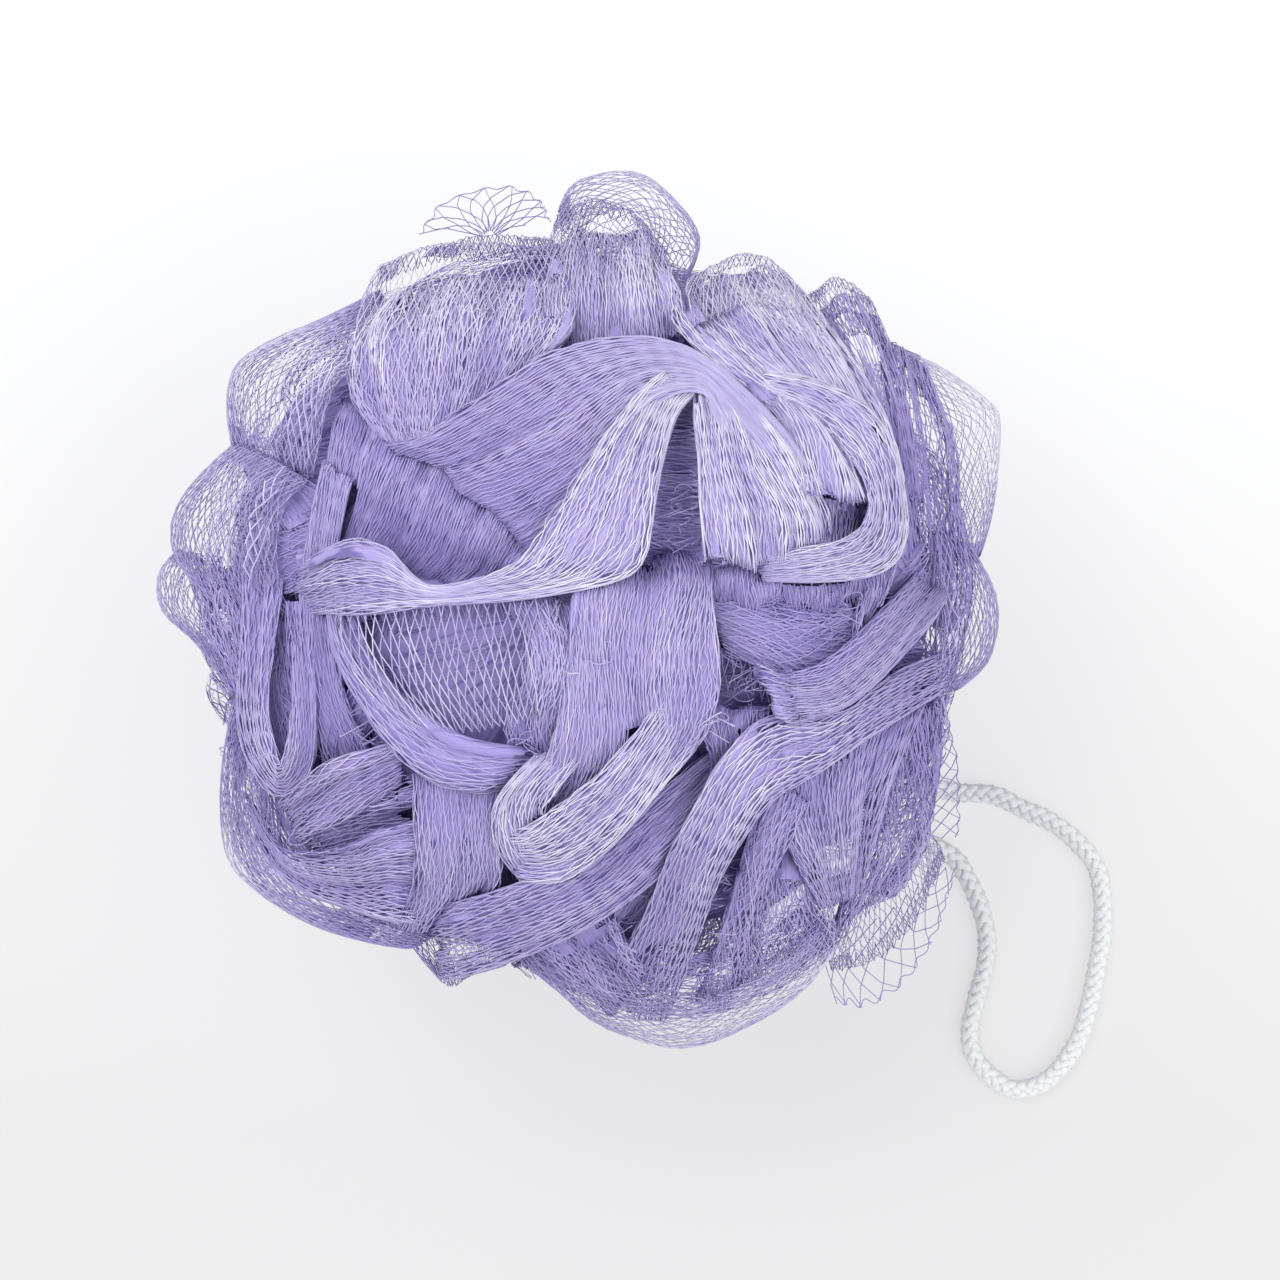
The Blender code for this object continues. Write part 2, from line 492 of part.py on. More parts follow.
def mesh_from_curve(thing, collection):
    """The curve's tube as a closed mesh object, for a Boolean."""
    graph = bpy.context.evaluated_depsgraph_get()
    mesh = bpy.data.meshes.new_from_object(thing.evaluated_get(graph))
    form = bmesh.new()
    form.from_mesh(mesh)
    bmesh.ops.remove_doubles(form, verts=form.verts, dist=0.00002)
    form.to_mesh(mesh)
    form.free()
    name = thing.name
    bpy.data.objects.remove(thing, do_unlink=True)
    return object_from(name + "_mesh", mesh, collection)


def cord_route():
    """The cord's centreline from one side of the knot, round the loop on the table, to its other side."""
    level = CORD_DIAMETER / 2 + 0.0001
    lying = [(x, y, level) for x, y in LOOP_ROUTE]
    route = [Vector(point) for point in (*UPPER_LEG, *lying, *reversed(LOWER_LEG))]
    knot = Vector(knot_centre())
    for end, inner in ((0, route[1]), (-1, route[-2])):
        out = (inner - knot).normalized()
        route[end] = knot + out * (KNOT_RADIUS + SEAT_GAP)
    line = smooth_line([tuple(point) for point in route], 2 * len(route) - 1)
    line[:, 2] = np.maximum(line[:, 2], level)
    return line


def knot_centre():
    """Where the knot sits on the tie, on the side that the loop leaves from."""
    leave = math.radians(-30.5)
    reach = TIE_RADIUS + 0.0012
    return (reach * math.cos(leave), reach * math.sin(leave), WAIST_HEIGHT)


def ring_and_knot(name, cord_radius, knot_radius, collection):
    """A ring of cord with the knot that closes it, joined by a Boolean union."""
    bpy.ops.mesh.primitive_torus_add(major_radius=TIE_RADIUS, minor_radius=cord_radius, major_segments=32,
                                     minor_segments=8, location=(0, 0, WAIST_HEIGHT))
    ring = bpy.context.object
    bpy.ops.mesh.primitive_uv_sphere_add(segments=16, ring_count=8, radius=knot_radius, location=knot_centre())
    knot = bpy.context.object
    for thing, title in ((ring, name), (knot, name + "_knot")):
        thing.name = title
        for owner in list(thing.users_collection):
            owner.objects.unlink(thing)
        collection.objects.link(thing)
    union = ring.modifiers.new("knot", "BOOLEAN")
    union.operation = "UNION"
    union.object = knot
    return ring, knot


def cut(thing, cutter, title):
    """Cuts the cutter out of the object."""
    bite = thing.modifiers.new(title, "BOOLEAN")
    bite.operation = "DIFFERENCE"
    bite.object = cutter


def table_cutter(helpers):
    """A block with its top at the table, which leaves the underside flat where the ball rests."""
    deep = POUF_DIAMETER
    bpy.ops.mesh.primitive_cube_add(size=2 * deep, location=(0, 0, -deep))
    block = bpy.context.object
    block.name = "table_block"
    for owner in list(block.users_collection):
        owner.objects.unlink(block)
    helpers.objects.link(block)
    return make_helper(block)


def make_netting(pouf, helpers, material):
    """The gathered net: one closed body with every fold, flat below, and hollow round the tie and the cord."""
    guide = fold_guide(helpers)
    mesh = netting_mesh(guide)
    bpy.data.objects.remove(guide, do_unlink=True)
    centre_in_plan(mesh)
    netting = object_from("netting", mesh, pouf, material)
    cut(netting, table_cutter(helpers), "rests flat")
    room_ring, room_knot = ring_and_knot("tie_room", CORD_DIAMETER / 2 + CORD_ROOM, KNOT_RADIUS + CORD_ROOM, helpers)
    cut(netting, make_helper(room_ring), "room for the tie")
    make_helper(room_knot)
    route = cord_route()
    inner = len(UPPER_LEG) * 2 + 1
    for title, points in (("upper_leg_room", route[:inner]), ("lower_leg_room", route[:-inner - 1:-1])):
        points = [np.array(knot_centre()), *points]
        tube = cord_curve(title, points, CORD_DIAMETER / 2 + CORD_ROOM, helpers)
        cut(netting, make_helper(mesh_from_curve(tube, helpers)), title)
    return netting


def make_tie(pouf, helpers, material):
    """The cord's turn round the gathered waist, with its knot."""
    ring, knot = ring_and_knot("centre_tie", CORD_DIAMETER / 2, KNOT_RADIUS, pouf)
    pouf.objects.unlink(knot)
    helpers.objects.link(knot)
    make_helper(knot)
    ring.data.materials.append(material)
    return ring


def make_cord(pouf, material):
    """The cord from the knot out through the folds, round its loop and back."""
    cord = cord_curve("hanging_cord", cord_route(), CORD_DIAMETER / 2, pouf)
    cord.data.materials.append(material)
    return cord


def main():
    remove_everything()
    pouf = new_collection("mesh_bath_pouf")
    helpers = new_collection("cutters")
    lilac = plastic("lilac_net", (0.42, 0.36, 0.70), 0.45)
    white = plastic("white_cord", (0.86, 0.88, 0.90), 0.6)
    make_netting(pouf, helpers, lilac)
    make_tie(pouf, helpers, white)
    make_cord(pouf, white)


main()
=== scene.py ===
"""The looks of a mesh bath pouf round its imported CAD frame: the gathered net as real strands over closer
layers of net, its see-through rims and cut edges, the braided cord, and a plain stage.
Metres, +Z up; the pouf lies on its underside and is seen from above."""

import math
from collections import namedtuple

import bmesh
import bpy
import numpy as np
from bpy.props import FloatProperty, FloatVectorProperty, IntProperty, PointerProperty
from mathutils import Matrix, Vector
from mathutils.bvhtree import BVHTree


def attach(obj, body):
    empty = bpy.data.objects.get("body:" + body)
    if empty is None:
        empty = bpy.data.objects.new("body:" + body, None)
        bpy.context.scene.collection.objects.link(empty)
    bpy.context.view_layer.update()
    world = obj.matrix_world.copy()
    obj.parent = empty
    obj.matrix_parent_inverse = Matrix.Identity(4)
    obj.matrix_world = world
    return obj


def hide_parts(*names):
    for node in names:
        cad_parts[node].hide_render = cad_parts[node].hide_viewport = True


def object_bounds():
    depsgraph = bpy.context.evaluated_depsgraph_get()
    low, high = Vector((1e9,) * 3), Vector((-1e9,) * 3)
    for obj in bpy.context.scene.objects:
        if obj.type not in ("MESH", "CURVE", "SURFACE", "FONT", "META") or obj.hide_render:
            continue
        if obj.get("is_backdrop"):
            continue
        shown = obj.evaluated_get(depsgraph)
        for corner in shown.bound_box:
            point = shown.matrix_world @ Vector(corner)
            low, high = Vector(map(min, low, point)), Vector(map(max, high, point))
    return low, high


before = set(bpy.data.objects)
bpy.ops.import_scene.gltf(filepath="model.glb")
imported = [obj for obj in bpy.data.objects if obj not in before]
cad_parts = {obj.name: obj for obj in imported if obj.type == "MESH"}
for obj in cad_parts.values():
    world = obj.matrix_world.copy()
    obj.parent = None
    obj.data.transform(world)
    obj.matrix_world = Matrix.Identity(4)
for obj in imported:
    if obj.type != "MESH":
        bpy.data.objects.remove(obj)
CAD_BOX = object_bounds()

bl_info = {
    "name": "Mesh Bath Pouf Looks",
    "version": (1, 0, 0),
    "blender": (4, 5, 0),
    "location": "View3D > Sidebar > Pouf",
    "description": "Builds the netting, the cord and the stage of a mesh bath pouf",
    "category": "Object",
}

# Sizes of the ball, as in the part's source, and of the folds, whose edges lie further in than the part's
POUF_DIAMETER = 0.1345
POUF_HEIGHT = 0.112
WAIST_HEIGHT = 0.054
FOLD_ROOM = 0.0045
RIM_DROP = 0.004
TUCK_RADIUS = 0.057
TURN_IN = 0.06
OUTLINE_STEPS = 36
OUTLINE_ROOM = 0.0055
LOWER_FOLDS = 34
# Shares of the ball's depth where the lower folds start and span, and how their number turns and varies them
LOWER_START = 0.06
LOWER_SPAN = 0.90
LOWER_HEADING = 2.1
LOWER_BEND = 0.9
LOWER_VARIES = 0.15
LOWER_FOLD_LENGTH = 0.058
LOWER_FOLD_WIDTH = 0.020
LOWER_FOLD_DEPTH = 0.012
# Shares of a lower fold's length and width, each with the share of its depth that it sinks by there
LOWER_STEPS = ((-0.52, 1.0), (-0.5, 0.45), (-0.2, 0.1), (0.15, 0.0), (0.5, 0.35), (0.54, 1.0))
LOWER_SIDES = ((-0.42, 1.0), (-0.5, 0.5), (-0.3, 0.13), (0, 0), (0.3, 0.13), (0.5, 0.5), (0.42, 1.0))
LOWER_DRAWN_IN = 0.0045
LOWER_LAYERS = 0.0055
FOOT_SQUASH = 0.88
CHART_CENTRE = (581, 609)
CHART_DIAMETER = 868
CHART = POUF_DIAMETER / CHART_DIAMETER
DOME_REACH = 1.04
DOME_POWER = 2.4
LIFT = 0.001
SHEET_SAMPLES = 40
SHEET_LONG = 0.0014
SHEET_WIDE = 0.0006
CORD_DIAMETER = 0.0032
TIE_RADIUS = 0.0088
KNOT_RADIUS = 0.0036
SEAT_GAP = 0.0003

# How the net lies in each kind of fold: the width and length of its diamonds
NETS = {
    "fine": (0.00070, 0.0062),
    "dense": (0.00098, 0.0066),
    "loose": (0.00125, 0.0056),
    "veil": (0.00170, 0.0040),
    "open": (0.00140, 0.0036),
    "sheer": (0.00165, 0.0036),
    "lace": (0.00120, 0.0044),
    "window": (0.00150, 0.0050),
    "cut": (0.00330, 0.0042),
}
# The kinds that have a closer net under their strands
CLOSED = ("fine", "dense", "loose")
# How far from the ball's axis the close layers and the second strands reach; past them the net is see-through
CLOSE_REACH = 0.053
LAYER_RAGGED = 0.001
SECOND_REACH = 0.058
# What is seen: a grid on each sheet, how far over it sight starts, the directions tried, the share of them
# that point out, how many must be free, and the least share of that at which a strand is drawn
SIGHT_GRID = 14
SIGHT_CLEAR = 0.0012
SIGHT_LINES = 40
SIGHT_SHARE = 0.6
SIGHT_NEEDED = 3
SEEN_LEAST = 0.3
# How strands draw together into locks: how far, and the locks' width, length, bends and shifts
BUNCHING = 0.00024
LOCK_WIDTH = 0.0024
LOCK_LENGTH = 0.0071
LOCK_BEND = 0.012
LOCK_SHIFT = 0.009
# How far strands sway and stray, in diamonds, and how far the two families lie apart, in strands
SWAY = 0.10
STRAY_ACROSS = 0.03
STRAY_ALONG = 0.06
CROSSING = 0.35
SIDES = {"ribbon": 1, "roof": 2, "tube": 3}
# How far over the fold's sheet each kind of net lies
VEIL_SHIFT = 0.00010
SECOND_SHIFT = -0.00022
LAYER_SHIFT = -0.00034
RIM_SHIFT = -0.0012
# How much deeper in colour the strands in front, those behind, the layer, all the net, and folds by rule
# look: painted shade on the strands behind, on the layer under them and on the deep and lower folds, which
# lie further in; a little painted light on the strands in front
FRONT_TINT = -0.06
SECOND_SHADE = 0.16
LAYER_SHADE = 0.52
NET_TINT = 0.14
DEEP_SHADE = 0.26
LOWER_SHADE = 0.06
# How much the tones of strands differ at random, by strand and by point, the palest of them taking the
# painted glint, and the soft patches' share and scale
TONES = 0.11
STRAND_TONE = 0.7
POINT_TONE = 0.3
PATCH_SHARE = 0.5
PATCH_SCALE = 70
# How the close layers' streaks and their slits of painted shade are spread across, along and off their lay,
# in waves a millimetre
STREAKS = (3.2, 0.16, 0.1)
SLITS = (0.42, 0.16, 0.1)
STREAK_DEPTH = 0.9
# The level of the noise at which the slits of painted shade open, how sharply they do, and the streaks' share
# in them
SLIT_LEVEL = 0.50
SLIT_EDGE = 7.0
SLIT_STREAKS = 1.5
# The places of the painted light and the painted half shade between the palest painted glint and the deepest
# painted shade
LIGHT_PLACE = 0.16
MIDDLE_PLACE = 0.50
# How deep the inner folds' edges go, as a share of the CAD's, which are thicker
DIVE_SHARE = 0.45
# How far the flat strands lean to their sides, and how fast that changes, in radians
LEAN = 0.45
LEAN_TURN = 0.35
# The crown's share of the ball's radius, the net's pieces, and the close layers of those that have their own
CROWN_SHARE = 0.5
PIECES = ("crown_folds", "upper_folds", "front_folds", "rim_folds", "cut_edges", "under_net", "deep_folds",
          "deep_net", "lower_folds", "low_folds", "lower_net")
LAYERS = {"deep_folds": "deep_net", "lower_folds": "lower_net", "low_folds": "lower_net"}
# The soft wrinkles along the strands: their widths, their height as a share of that, and the rims' share
RUMPLES = (0.0110, 0.0067, 0.0043, 0.0028)
RUMPLE_SHARE = 0.070
RIM_RUMPLES = 0.3
WIDTH_LEAST = 0.3
# The layers under the crown: their folds, their sizes, and their reach
DEEP_FOLDS = 64
DEEP_LENGTHS = (0.030, 0.046)
DEEP_WIDTHS = (0.010, 0.017)
DEEP_SINKS = (0.0060, 0.0085)
DEEP_SIDES = ((-0.5, 0.006), (-0.3, 0.0015), (0, 0.0), (0.3, 0.0015), (0.5, 0.006))
DEEP_REACH = 0.053
DEEP_SPREAD = 0.78
DEEP_DIP = 0.003
# Where painted shade starts to deepen the colour below the dome, and how far below it is deepest
DEEP_START = 0.002
DEEPEST = 0.012
# The net packed at the middle: its reach, level and up, how far it is drawn in, and its lay round the axis
PACKED_SIDE = 0.0475
PACKED_TOP = 0.0495
PACKED_SINK = 0.003
PACKED_TURN = 55
WELD = 0.00001
# The least height over the table of the net's points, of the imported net's and of the cord's
NET_LEAST = 0.0001
PACKED_LEAST = 0.0006
CORD_LEAST = 0.00002
# The braid's carriers, their steps in a turn, width, thickness, depth and wave, its core and its fibres
CARRIERS = 8
TURN_STEPS = 13
CARRIER_WIDTH = 0.00150
CARRIER_THICKNESS = 0.00068
CARRIER_DEPTH = 0.00045
CARRIER_WAVE = 0.00022
CORE = 0.0020
FIBRE_SCALE = 2600
# Where the knot sits on the tie, on the side that the loop leaves from
KNOT_SIDE = math.radians(-30.5)
KNOT_OUT = 0.0012
# The turn and the share that spread numbered things evenly
GOLDEN_TURN = math.pi * (3 - math.sqrt(5))
GOLDEN_SHARE = 0.618

# The frame of the photograph, the camera over it, and how far off its middle the floor's two colours meet
FRAME_PIXELS = 1280
CAMERA_ABOVE = 0.95
SENSOR = 36.0
FLOOR_BLEND = 0.085

# The folds, read off the photograph in its pixels. A fold's first line has its name, its kind and whether a
# veil of rounder diamonds lies over it, how deep its first, last, near and far edges turn under, and how much
# deeper in colour it is: painted shade for folds that lie in shade, and painted light where below zero. Its
# sections across the strands follow: their lift over the dome in millimetres, and their points as right,down
# or right,down,more lift.
FOLD_CHART = """
top_left_lobe open 6 6 5 14 -0.08
-4 322,480 280,463 239,448
-1 328,440 278,424 232,404
1 335,408 288,388 241,369
2 348,386 312,366 276,347
0 368,374 345,350 327,327
-3 400,362 390,332 382,299

top_fan fine+veil 9 10 6 4 0
-5 398,452 425,466,1 458,468,1 505,440
-1 366,404 416,404 474,398 548,376
2 360,352 415,345,1 480,335 572,340
1 384,314 425,302 490,290 572,298

top_fan_rim lace 5 8 5 4 -0.08
2 366,352 415,338 480,326 566,330
2 374,302 418,286 485,278 566,288
0 388,272 424,256 485,252 562,262

cut_edge_fan cut 0 0 0 0 0.45
-9 484,241 491,234 498,240
-6 450,232 472,212 508,208 530,232
-5 420,236 446,201 500,186 538,200 552,228

cut_edge_base lace 3 3 3 3 -0.08
-6 430,262 490,262 552,262
-7 440,250 490,238,1 550,244

loop_back sheer 4 4 2 7 -0.08
-6 575,252 568,236 560,215
-6 596,220 586,200 578,183
-6 628,212 631,190 634,171
-6 650,228 662,205 672,199
-7 658,255 678,246 698,240
-8 662,285 674,280 688,278
-9 664,305 668,303 674,300

loop_front fine 6 8 4 4 0
-3 556,362 600,356 648,354 684,350
2 552,322 596,308 642,304 679,318
1 552,288 592,272 636,266 670,288
-2 556,256 590,243 630,240 660,258

loop_front_rim lace 4 6 3 3 -0.08
1 550,282 590,268 632,266 668,290
0 554,245 588,230 627,234 658,258
-3 560,220 590,204 625,213 647,232

top_right_fan fine 8 10 4 6 0
-2 672,306 706,296 742,278 775,282 805,308
2 676,335 722,326 765,312 800,322 834,345
4 706,368 745,360 788,355 824,364 856,388
4 745,400 782,396 818,398 850,412 878,436
1 800,432 828,430 856,440 876,458 894,486

top_right_tip lace 5 6 4 4 -0.08
4 696,338 735,318 780,318 822,338
3 688,305 733,282,1 775,284 812,315
0 690,288 736,262 768,266 800,298

upper_right_fan dense 8 8 4 6 0.22
-8 884,490 900,496 916,502
-3 862,410 882,410 904,420
-1 830,345 856,332 888,356
-3 815,315 840,300 872,318

upper_right_tip lace 5 6 4 5 -0.08
-1 832,350 856,338 886,352
-2 812,312 842,296 873,312
-4 808,298 838,279 866,296

arch fine 5 6 2 6 0.2
-3 400,456 436,472 464,493 496,521 546,569
-2 432,448 468,460 496,480 530,504 572,540,-1
1 498,408 528,424 556,448 578,472,-1 600,504,-2
3 548,374 572,394 594,416 610,436,-1 626,462,-1.5
5 600,357 617,374 631,390 642,405 652,422,-0.5
6 650,353 660,368 668,381 675,394 680,406
6 696,367 700,378 703,388 704,397 704,408
6 738,400 733,407 727,414 720,421 712,430
4 778,440 771,447 763,455 754,463 744,472
2 806,482 797,488 788,494 778,500 768,506

left_leaf fine 1 5 7 2 0.02
-5 356,408 408,440 448,462 486,490 516,518 554,558
-4 345,450 390,480 430,504 468,531 498,552 530,578
-6 341,488 376,515 416,538 455,560 486,574 514,588
-7 336,530 362,544 400,560 438,577 466,588 498,596
-8 330,566 350,568 385,576 425,590 455,600 490,606

light_band fine 4 12 1 8 -0.02
5 662,388,1 680,394,1 700,400
5 644,402 660,411 676,421
5 614,440,-2 638,454 662,467
5 584,484,-4 618,500 653,514
4 556,524,-4 597,545 642,566
2 528,566 562,580 606,587
0 482,584 502,592 522,601
0 436,588 440,597 446,606
0 402,554 396,582 400,610
0 366,545 354,580 358,612
-2 340,554 328,586 338,612
-5 318,566 306,592 318,614

slit_wall dense 4 4 3 5 0
2 662,402,2 654,436,-1 650,476,-2 646,520,-4 638,572,-6
-1 674,400,4 668,436,-1 664,476,-2 662,520,-4 656,575,-6
-1 686,400,4 684,436,-1 682,476,-2 680,520,-4 678,578,-6
2 700,404,2 700,438 700,478,-1 702,520,-3 704,572,-5

swirl_sheet fine 4 5 5 3 -0.04
5 693,402 706,400,0.5 722,403 742,410,-1
5 694,434 716,432,0.5 745,438 780,452,-1.5
5 695,472 722,470,0.5 762,478,-0.5 812,500,-3
3 698,518 736,519 784,524,-1 822,536,-3
0 703,566 742,569 784,568,-1 822,562,-2

swirl_flap fine 2 5 1 2 0.04
4 744,400 772,396 800,408
4.5 772,436,-2 802,432 832,446
4.5 784,474,-1 818,474 850,484
4 790,500 824,505 860,510

swirl_roll fine 6 5 5 10 0
4 748,400 756,390 764,380
5 792,416 802,402 811,388
5 826,446 843,429 858,410
5 849,478 868,464 886,450
5 858,508 877,505 896,502
4 852,530 873,540 894,548
3 832,545 850,560 868,575
1 798,552 806,568 814,584
-2 750,560 752,572 756,584

nook_wall dense 3 3 3 3 0
1 800,500 830,504 860,508
-3 802,526 830,526 856,526
1 808,550 828,552 850,550

under_swirl dense 4 5 4 5 0
-4 640,566 700,566 756,570 812,574 868,566
-3 640,582 698,582 756,588 814,592 872,580
-5 642,606 700,604 756,608 812,612 866,606

left_upper_lobe open 5 5 4 10 -0.08
-3 318,486 282,462 245,446
-1 298,502 254,482 217,470
-1 288,532 238,514 190,499
-2 286,562 230,546 177,530
-4 290,592 236,582 183,562
-6 300,615 260,622 216,602

left_ridge dense 3 5 3 4 0.16
-4 244,450 248,458 252,468
-3 282,466 274,482 266,498
-4 316,486 296,504 276,518
-5 345,505 318,528 294,540

left_pocket loose+veil 4 5 5 4 0
-6 340,490 334,530 328,585
-5 296,492 292,535 294,592
-6 250,500 246,540 252,592

left_mid_lobe open 4 4 3 8 -0.08
-8 205,560 192,553 180,550
-7 208,585 184,580 161,574
-7 216,618 190,616 165,610
-7 242,655 224,652 203,644
-7 262,692 252,696 241,694

left_mid_net loose+veil 4 4 4 4 0
-6 268,560 236,566 200,575
-5 272,600 244,608 212,618
-6 272,650 254,656 232,660
-7 274,700 262,702 248,704

left_column dense 5 5 5 5 0
-3 336,470 350,478 364,488
-4 322,540 336,546 350,548
-5 314,600 330,606 348,608
-5 314,670 334,680 356,690
-6 318,730 346,734 376,738
-7 322,772 352,768 384,762

hook_inner loose+veil 4 4 5 5 0.16
-5 276,600 294,598 314,598
-6 272,660 292,662 316,664
-6 272,716 292,722 314,720
-4 276,756 292,760 306,752

hook_fold dense 7 7 6 6 0
-5 258,576 276,570 296,576
-3 254,640 270,640 288,640
-2 248,698 264,700 280,702
-1 253,748 268,744 284,735
-1 284,794 289,778 293,760
-2 322,768 312,750 302,738
-3 328,706 318,702 307,700
-6 326,640 316,638 306,638

left_spindle dense 7 7 7 7 0
-5 410,738 412,756 412,776
-1 348,760,1 356,782 362,806,-1
-4 290,796 297,815 306,834

left_light_flap dense 5 6 6 7 0
-6 250,792 256,815 262,842
-4 290,846 294,864 298,884
-2 350,842,1 356,872 362,906
-1 392,824,1 396,862 396,914
-3 440,812 440,860 436,920

dark_pocket dense 4 4 4 4 0
-6 300,822 312,838 326,856
-5 350,798 358,816 366,838
-6 424,776 426,800 428,824

lower_left_rim open 5 5 4 11 -0.08
-5 274,698 258,700 243,700
-4 272,750 252,750 232,750
-4 275,800 250,802 226,803
-4 286,842 258,850 230,856
-4 312,872 285,884 256,888
-4 352,896 332,910 312,921
-5 400,915 386,928 372,938
-6 440,930 426,938 413,944

left_under dense 4 4 4 4 0.2
-7 285,690 262,700 244,712
-8 285,760 258,770 236,780
-8 300,830 268,840 238,848
-8 340,870 310,892 282,908
-8 400,890 385,915 372,932

bottom_under loose 4 4 4 4 0.16
-8 560,900 548,930 530,955
-7 620,940 606,968 592,992
-7 690,950 688,988 684,1018
-7 750,940 756,974 764,996
-8 810,900 818,930 826,950

right_under dense 4 4 4 4 0.24
-9 880,690 910,700 935,706
-9 880,760 910,766 940,770
-9 866,825 898,832 928,838
-10 846,885 870,892 894,898

lower_right_net lace 2 2 2 2 0.3
-10 836,925 862,902 888,868 916,828
-11 832,950 868,935 905,900 936,845
-12 836,975 876,968 916,932 948,866

basket_window window 3 3 4 4 -0.12
-1 352,604 430,598 490,596 562,600
0 360,646 432,642,1 494,640,1 556,640
0 386,694 440,686,1 498,684,1 550,678
0 424,738 462,730 508,722 545,712

basket_sweep dense 5 6 6 1 0.2
-4 338,590 348,596 364,602
-2 346,648 360,647,1 378,644
-1 372,698 388,690,1 404,680
0 406,742 424,728,1 440,714
0 448,772 462,752,1 476,734
-1 500,780 510,760,1 520,742
-5 545,770 552,756 558,742

basket_side fine+veil 4 6 1 2 0.14
-3 512,590 545,590 590,592
-1 530,630 560,632,1 592,634
0 532,672 560,674,1 592,678
-1 516,712 548,720 584,726
-4 520,760 548,764 580,768

centre_flow fine 6 8 5 8 0.12
-5 590,562 640,558 704,562
0 578,594 638,586 706,590
1 572,640 602,642,-1 655,640 712,646
1 566,690 604,696,-1 650,694 710,690
1 556,740 600,752 650,738 696,730
-1 540,790 576,800 618,786 660,770
-6 520,830 548,840 580,830 612,816

roll_spindle fine 6 5 8 7 0
0 664,690 680,712 694,736
3 634,734 652,752 668,768
4 600,770 622,790 640,806
3 560,802 584,824 604,842
2 530,822 548,844 562,866
0 508,826 514,844 520,864

spindle_curl fine 5 5 5 4 0
0 590,744 562,742 545,750
2 564,774 534,768 520,778
2 550,802 517,798 503,806
1 552,828 523,832 505,842
-1 562,848 538,858 523,868

long_band dense 6 7 6 7 0.16
-4 716,742 724,760 734,782
-2 652,790 668,812 688,838
0 580,848 602,872 622,896
1 512,878 534,906 552,936
0 458,894 462,930 468,968
-5 436,904 438,934 444,972

front_flap dense 5 7 6 6 0.08
-3 426,768 466,770 516,772
0 424,826 464,828,0.5 506,830
0 420,872 458,878,0.5 500,876
-3 400,914 430,926 470,918

bottom_tip lace 4 5 3 4 -0.08
-6 405,915 440,912 500,935
-7 418,944 452,945 510,955
-9 438,974 452,984 474,971

under_band dense 5 5 5 5 -0.1
-7 620,870 660,850 700,836
-6 590,930 636,900 680,880
-8 520,960 580,950 640,950

bottom_rim open 6 6 4 12 -0.08
-6 560,900 540,925 520,950
-3 600,940 580,962 560,984
-2 640,980 622,1002 604,1022
-2 690,995 686,1022 682,1048
-2 745,982 748,1002 755,1022
-3 788,948 798,968 808,986
-6 820,915 828,930 836,946

bottom_fan dense+veil 4 5 4 4 0
-5 536,935 574,918 608,900
-3 574,974 600,956 626,936
-4 612,1012 628,990 646,968

great_band dense 7 7 6 7 0.06
-6 952,650 944,672 934,694
-3 904,664 900,690,1 896,716
-1 860,684 858,712,1 858,738
0 816,708 818,736,1 820,764
1 760,712 776,744,1 790,780
2 718,752 740,772,1 764,796
2 692,800 714,816,1 738,832
1 668,846 692,860,1 716,872
-1 648,902 674,912,1 700,920
-3 616,964 646,976 678,984
-7 598,1004 630,1014 664,1018

band_root dense 5 5 4 5 0.26
-3 696,706 730,700 768,708
-1 698,730 728,728 762,740
-2 708,760 726,764 748,778
-5 696,800 712,806 730,818

right_band loose+veil 6 7 5 5 0.12
-2 770,772 786,784 800,796
-1 748,820 764,828,0.5 780,836
-2 730,876 746,882,0.5 762,888
-4 716,940 732,946 748,950
-7 694,1000 710,1004 726,1008

right_tube fine 4 6 7 7 0.18
0 764,676 780,694,2 796,716
0 808,670 824,688,2 838,702
0 850,642 866,654,1.5 880,664
-2 888,602 904,614,1 918,622
-6 912,576 926,586 940,594

tube_mouth dense 2 4 4 4 0.3
2 752,664 758,690 772,718
3 768,668 774,692 788,718
-3 792,676 798,692 806,708

bowl dense+veil 4 6 4 6 0
-5 694,560 700,600,-1 722,650
-4 738,560 746,606,-1 762,668,1
-4 784,562 794,610,-1 804,682,1
-4 836,562 844,604,-1 850,664,1
-6 880,564 884,596 880,640

net_hole window 3 3 3 3 -0.1
-5 704,648 732,650 762,664
-6 700,690 730,690 760,700

right_folds dense 5 5 6 6 0
-5 866,560 880,554 896,548
-3 850,610 862,606 876,600
-5 838,650 848,646 858,640

vertical_fan dense 6 5 6 6 0
-4 770,792 812,758 862,730 914,706
-2 780,830 812,806 848,788 884,776
-2 798,866 820,852 844,842 868,832
-5 818,904 832,900 846,894 860,886

lower_right_dark loose+veil 5 6 4 5 0.22
-8 872,730 898,718 928,706
-7 872,800 898,794 928,788
-8 858,860 890,852 924,845
-10 834,926 866,908 902,890

lower_right_mesh loose+veil 5 6 5 5 0.06
-7 752,832 785,836 816,862
-5 738,915 785,908 826,900
-6 734,985 790,968 836,938

right_column dense 5 6 5 6 0.26
-6 882,345 905,352 926,374
-6 882,420 914,428,-0.5 952,446
-7 886,500 918,508,-1.5 956,524
-8 882,572 922,580,-1.5 962,592
-9 872,620 910,622 948,628

right_open_lobe sheer 3 4 4 6 -0.08
-7 905,368 900,357 895,348
-7 928,400 936,384 944,368
-6 942,430 968,412 992,402
-6 945,452 972,438 1001,422
-7 945,500 970,494 996,484
-7 948,535 968,530 988,524
-8 956,562 966,562 977,558

right_lobe open 5 5 4 9 -0.08
-8 925,536 946,536 966,544
-6 930,585 960,578 989,584
-5 932,625 964,622 995,620
-5 928,662 956,664 984,662
-6 912,690 932,692 955,688

right_fringe cut 0 0 0 0 0.45
-12 922,700 927,750 925,800 922,850
-14 938,698 955,745 962,790 963,840

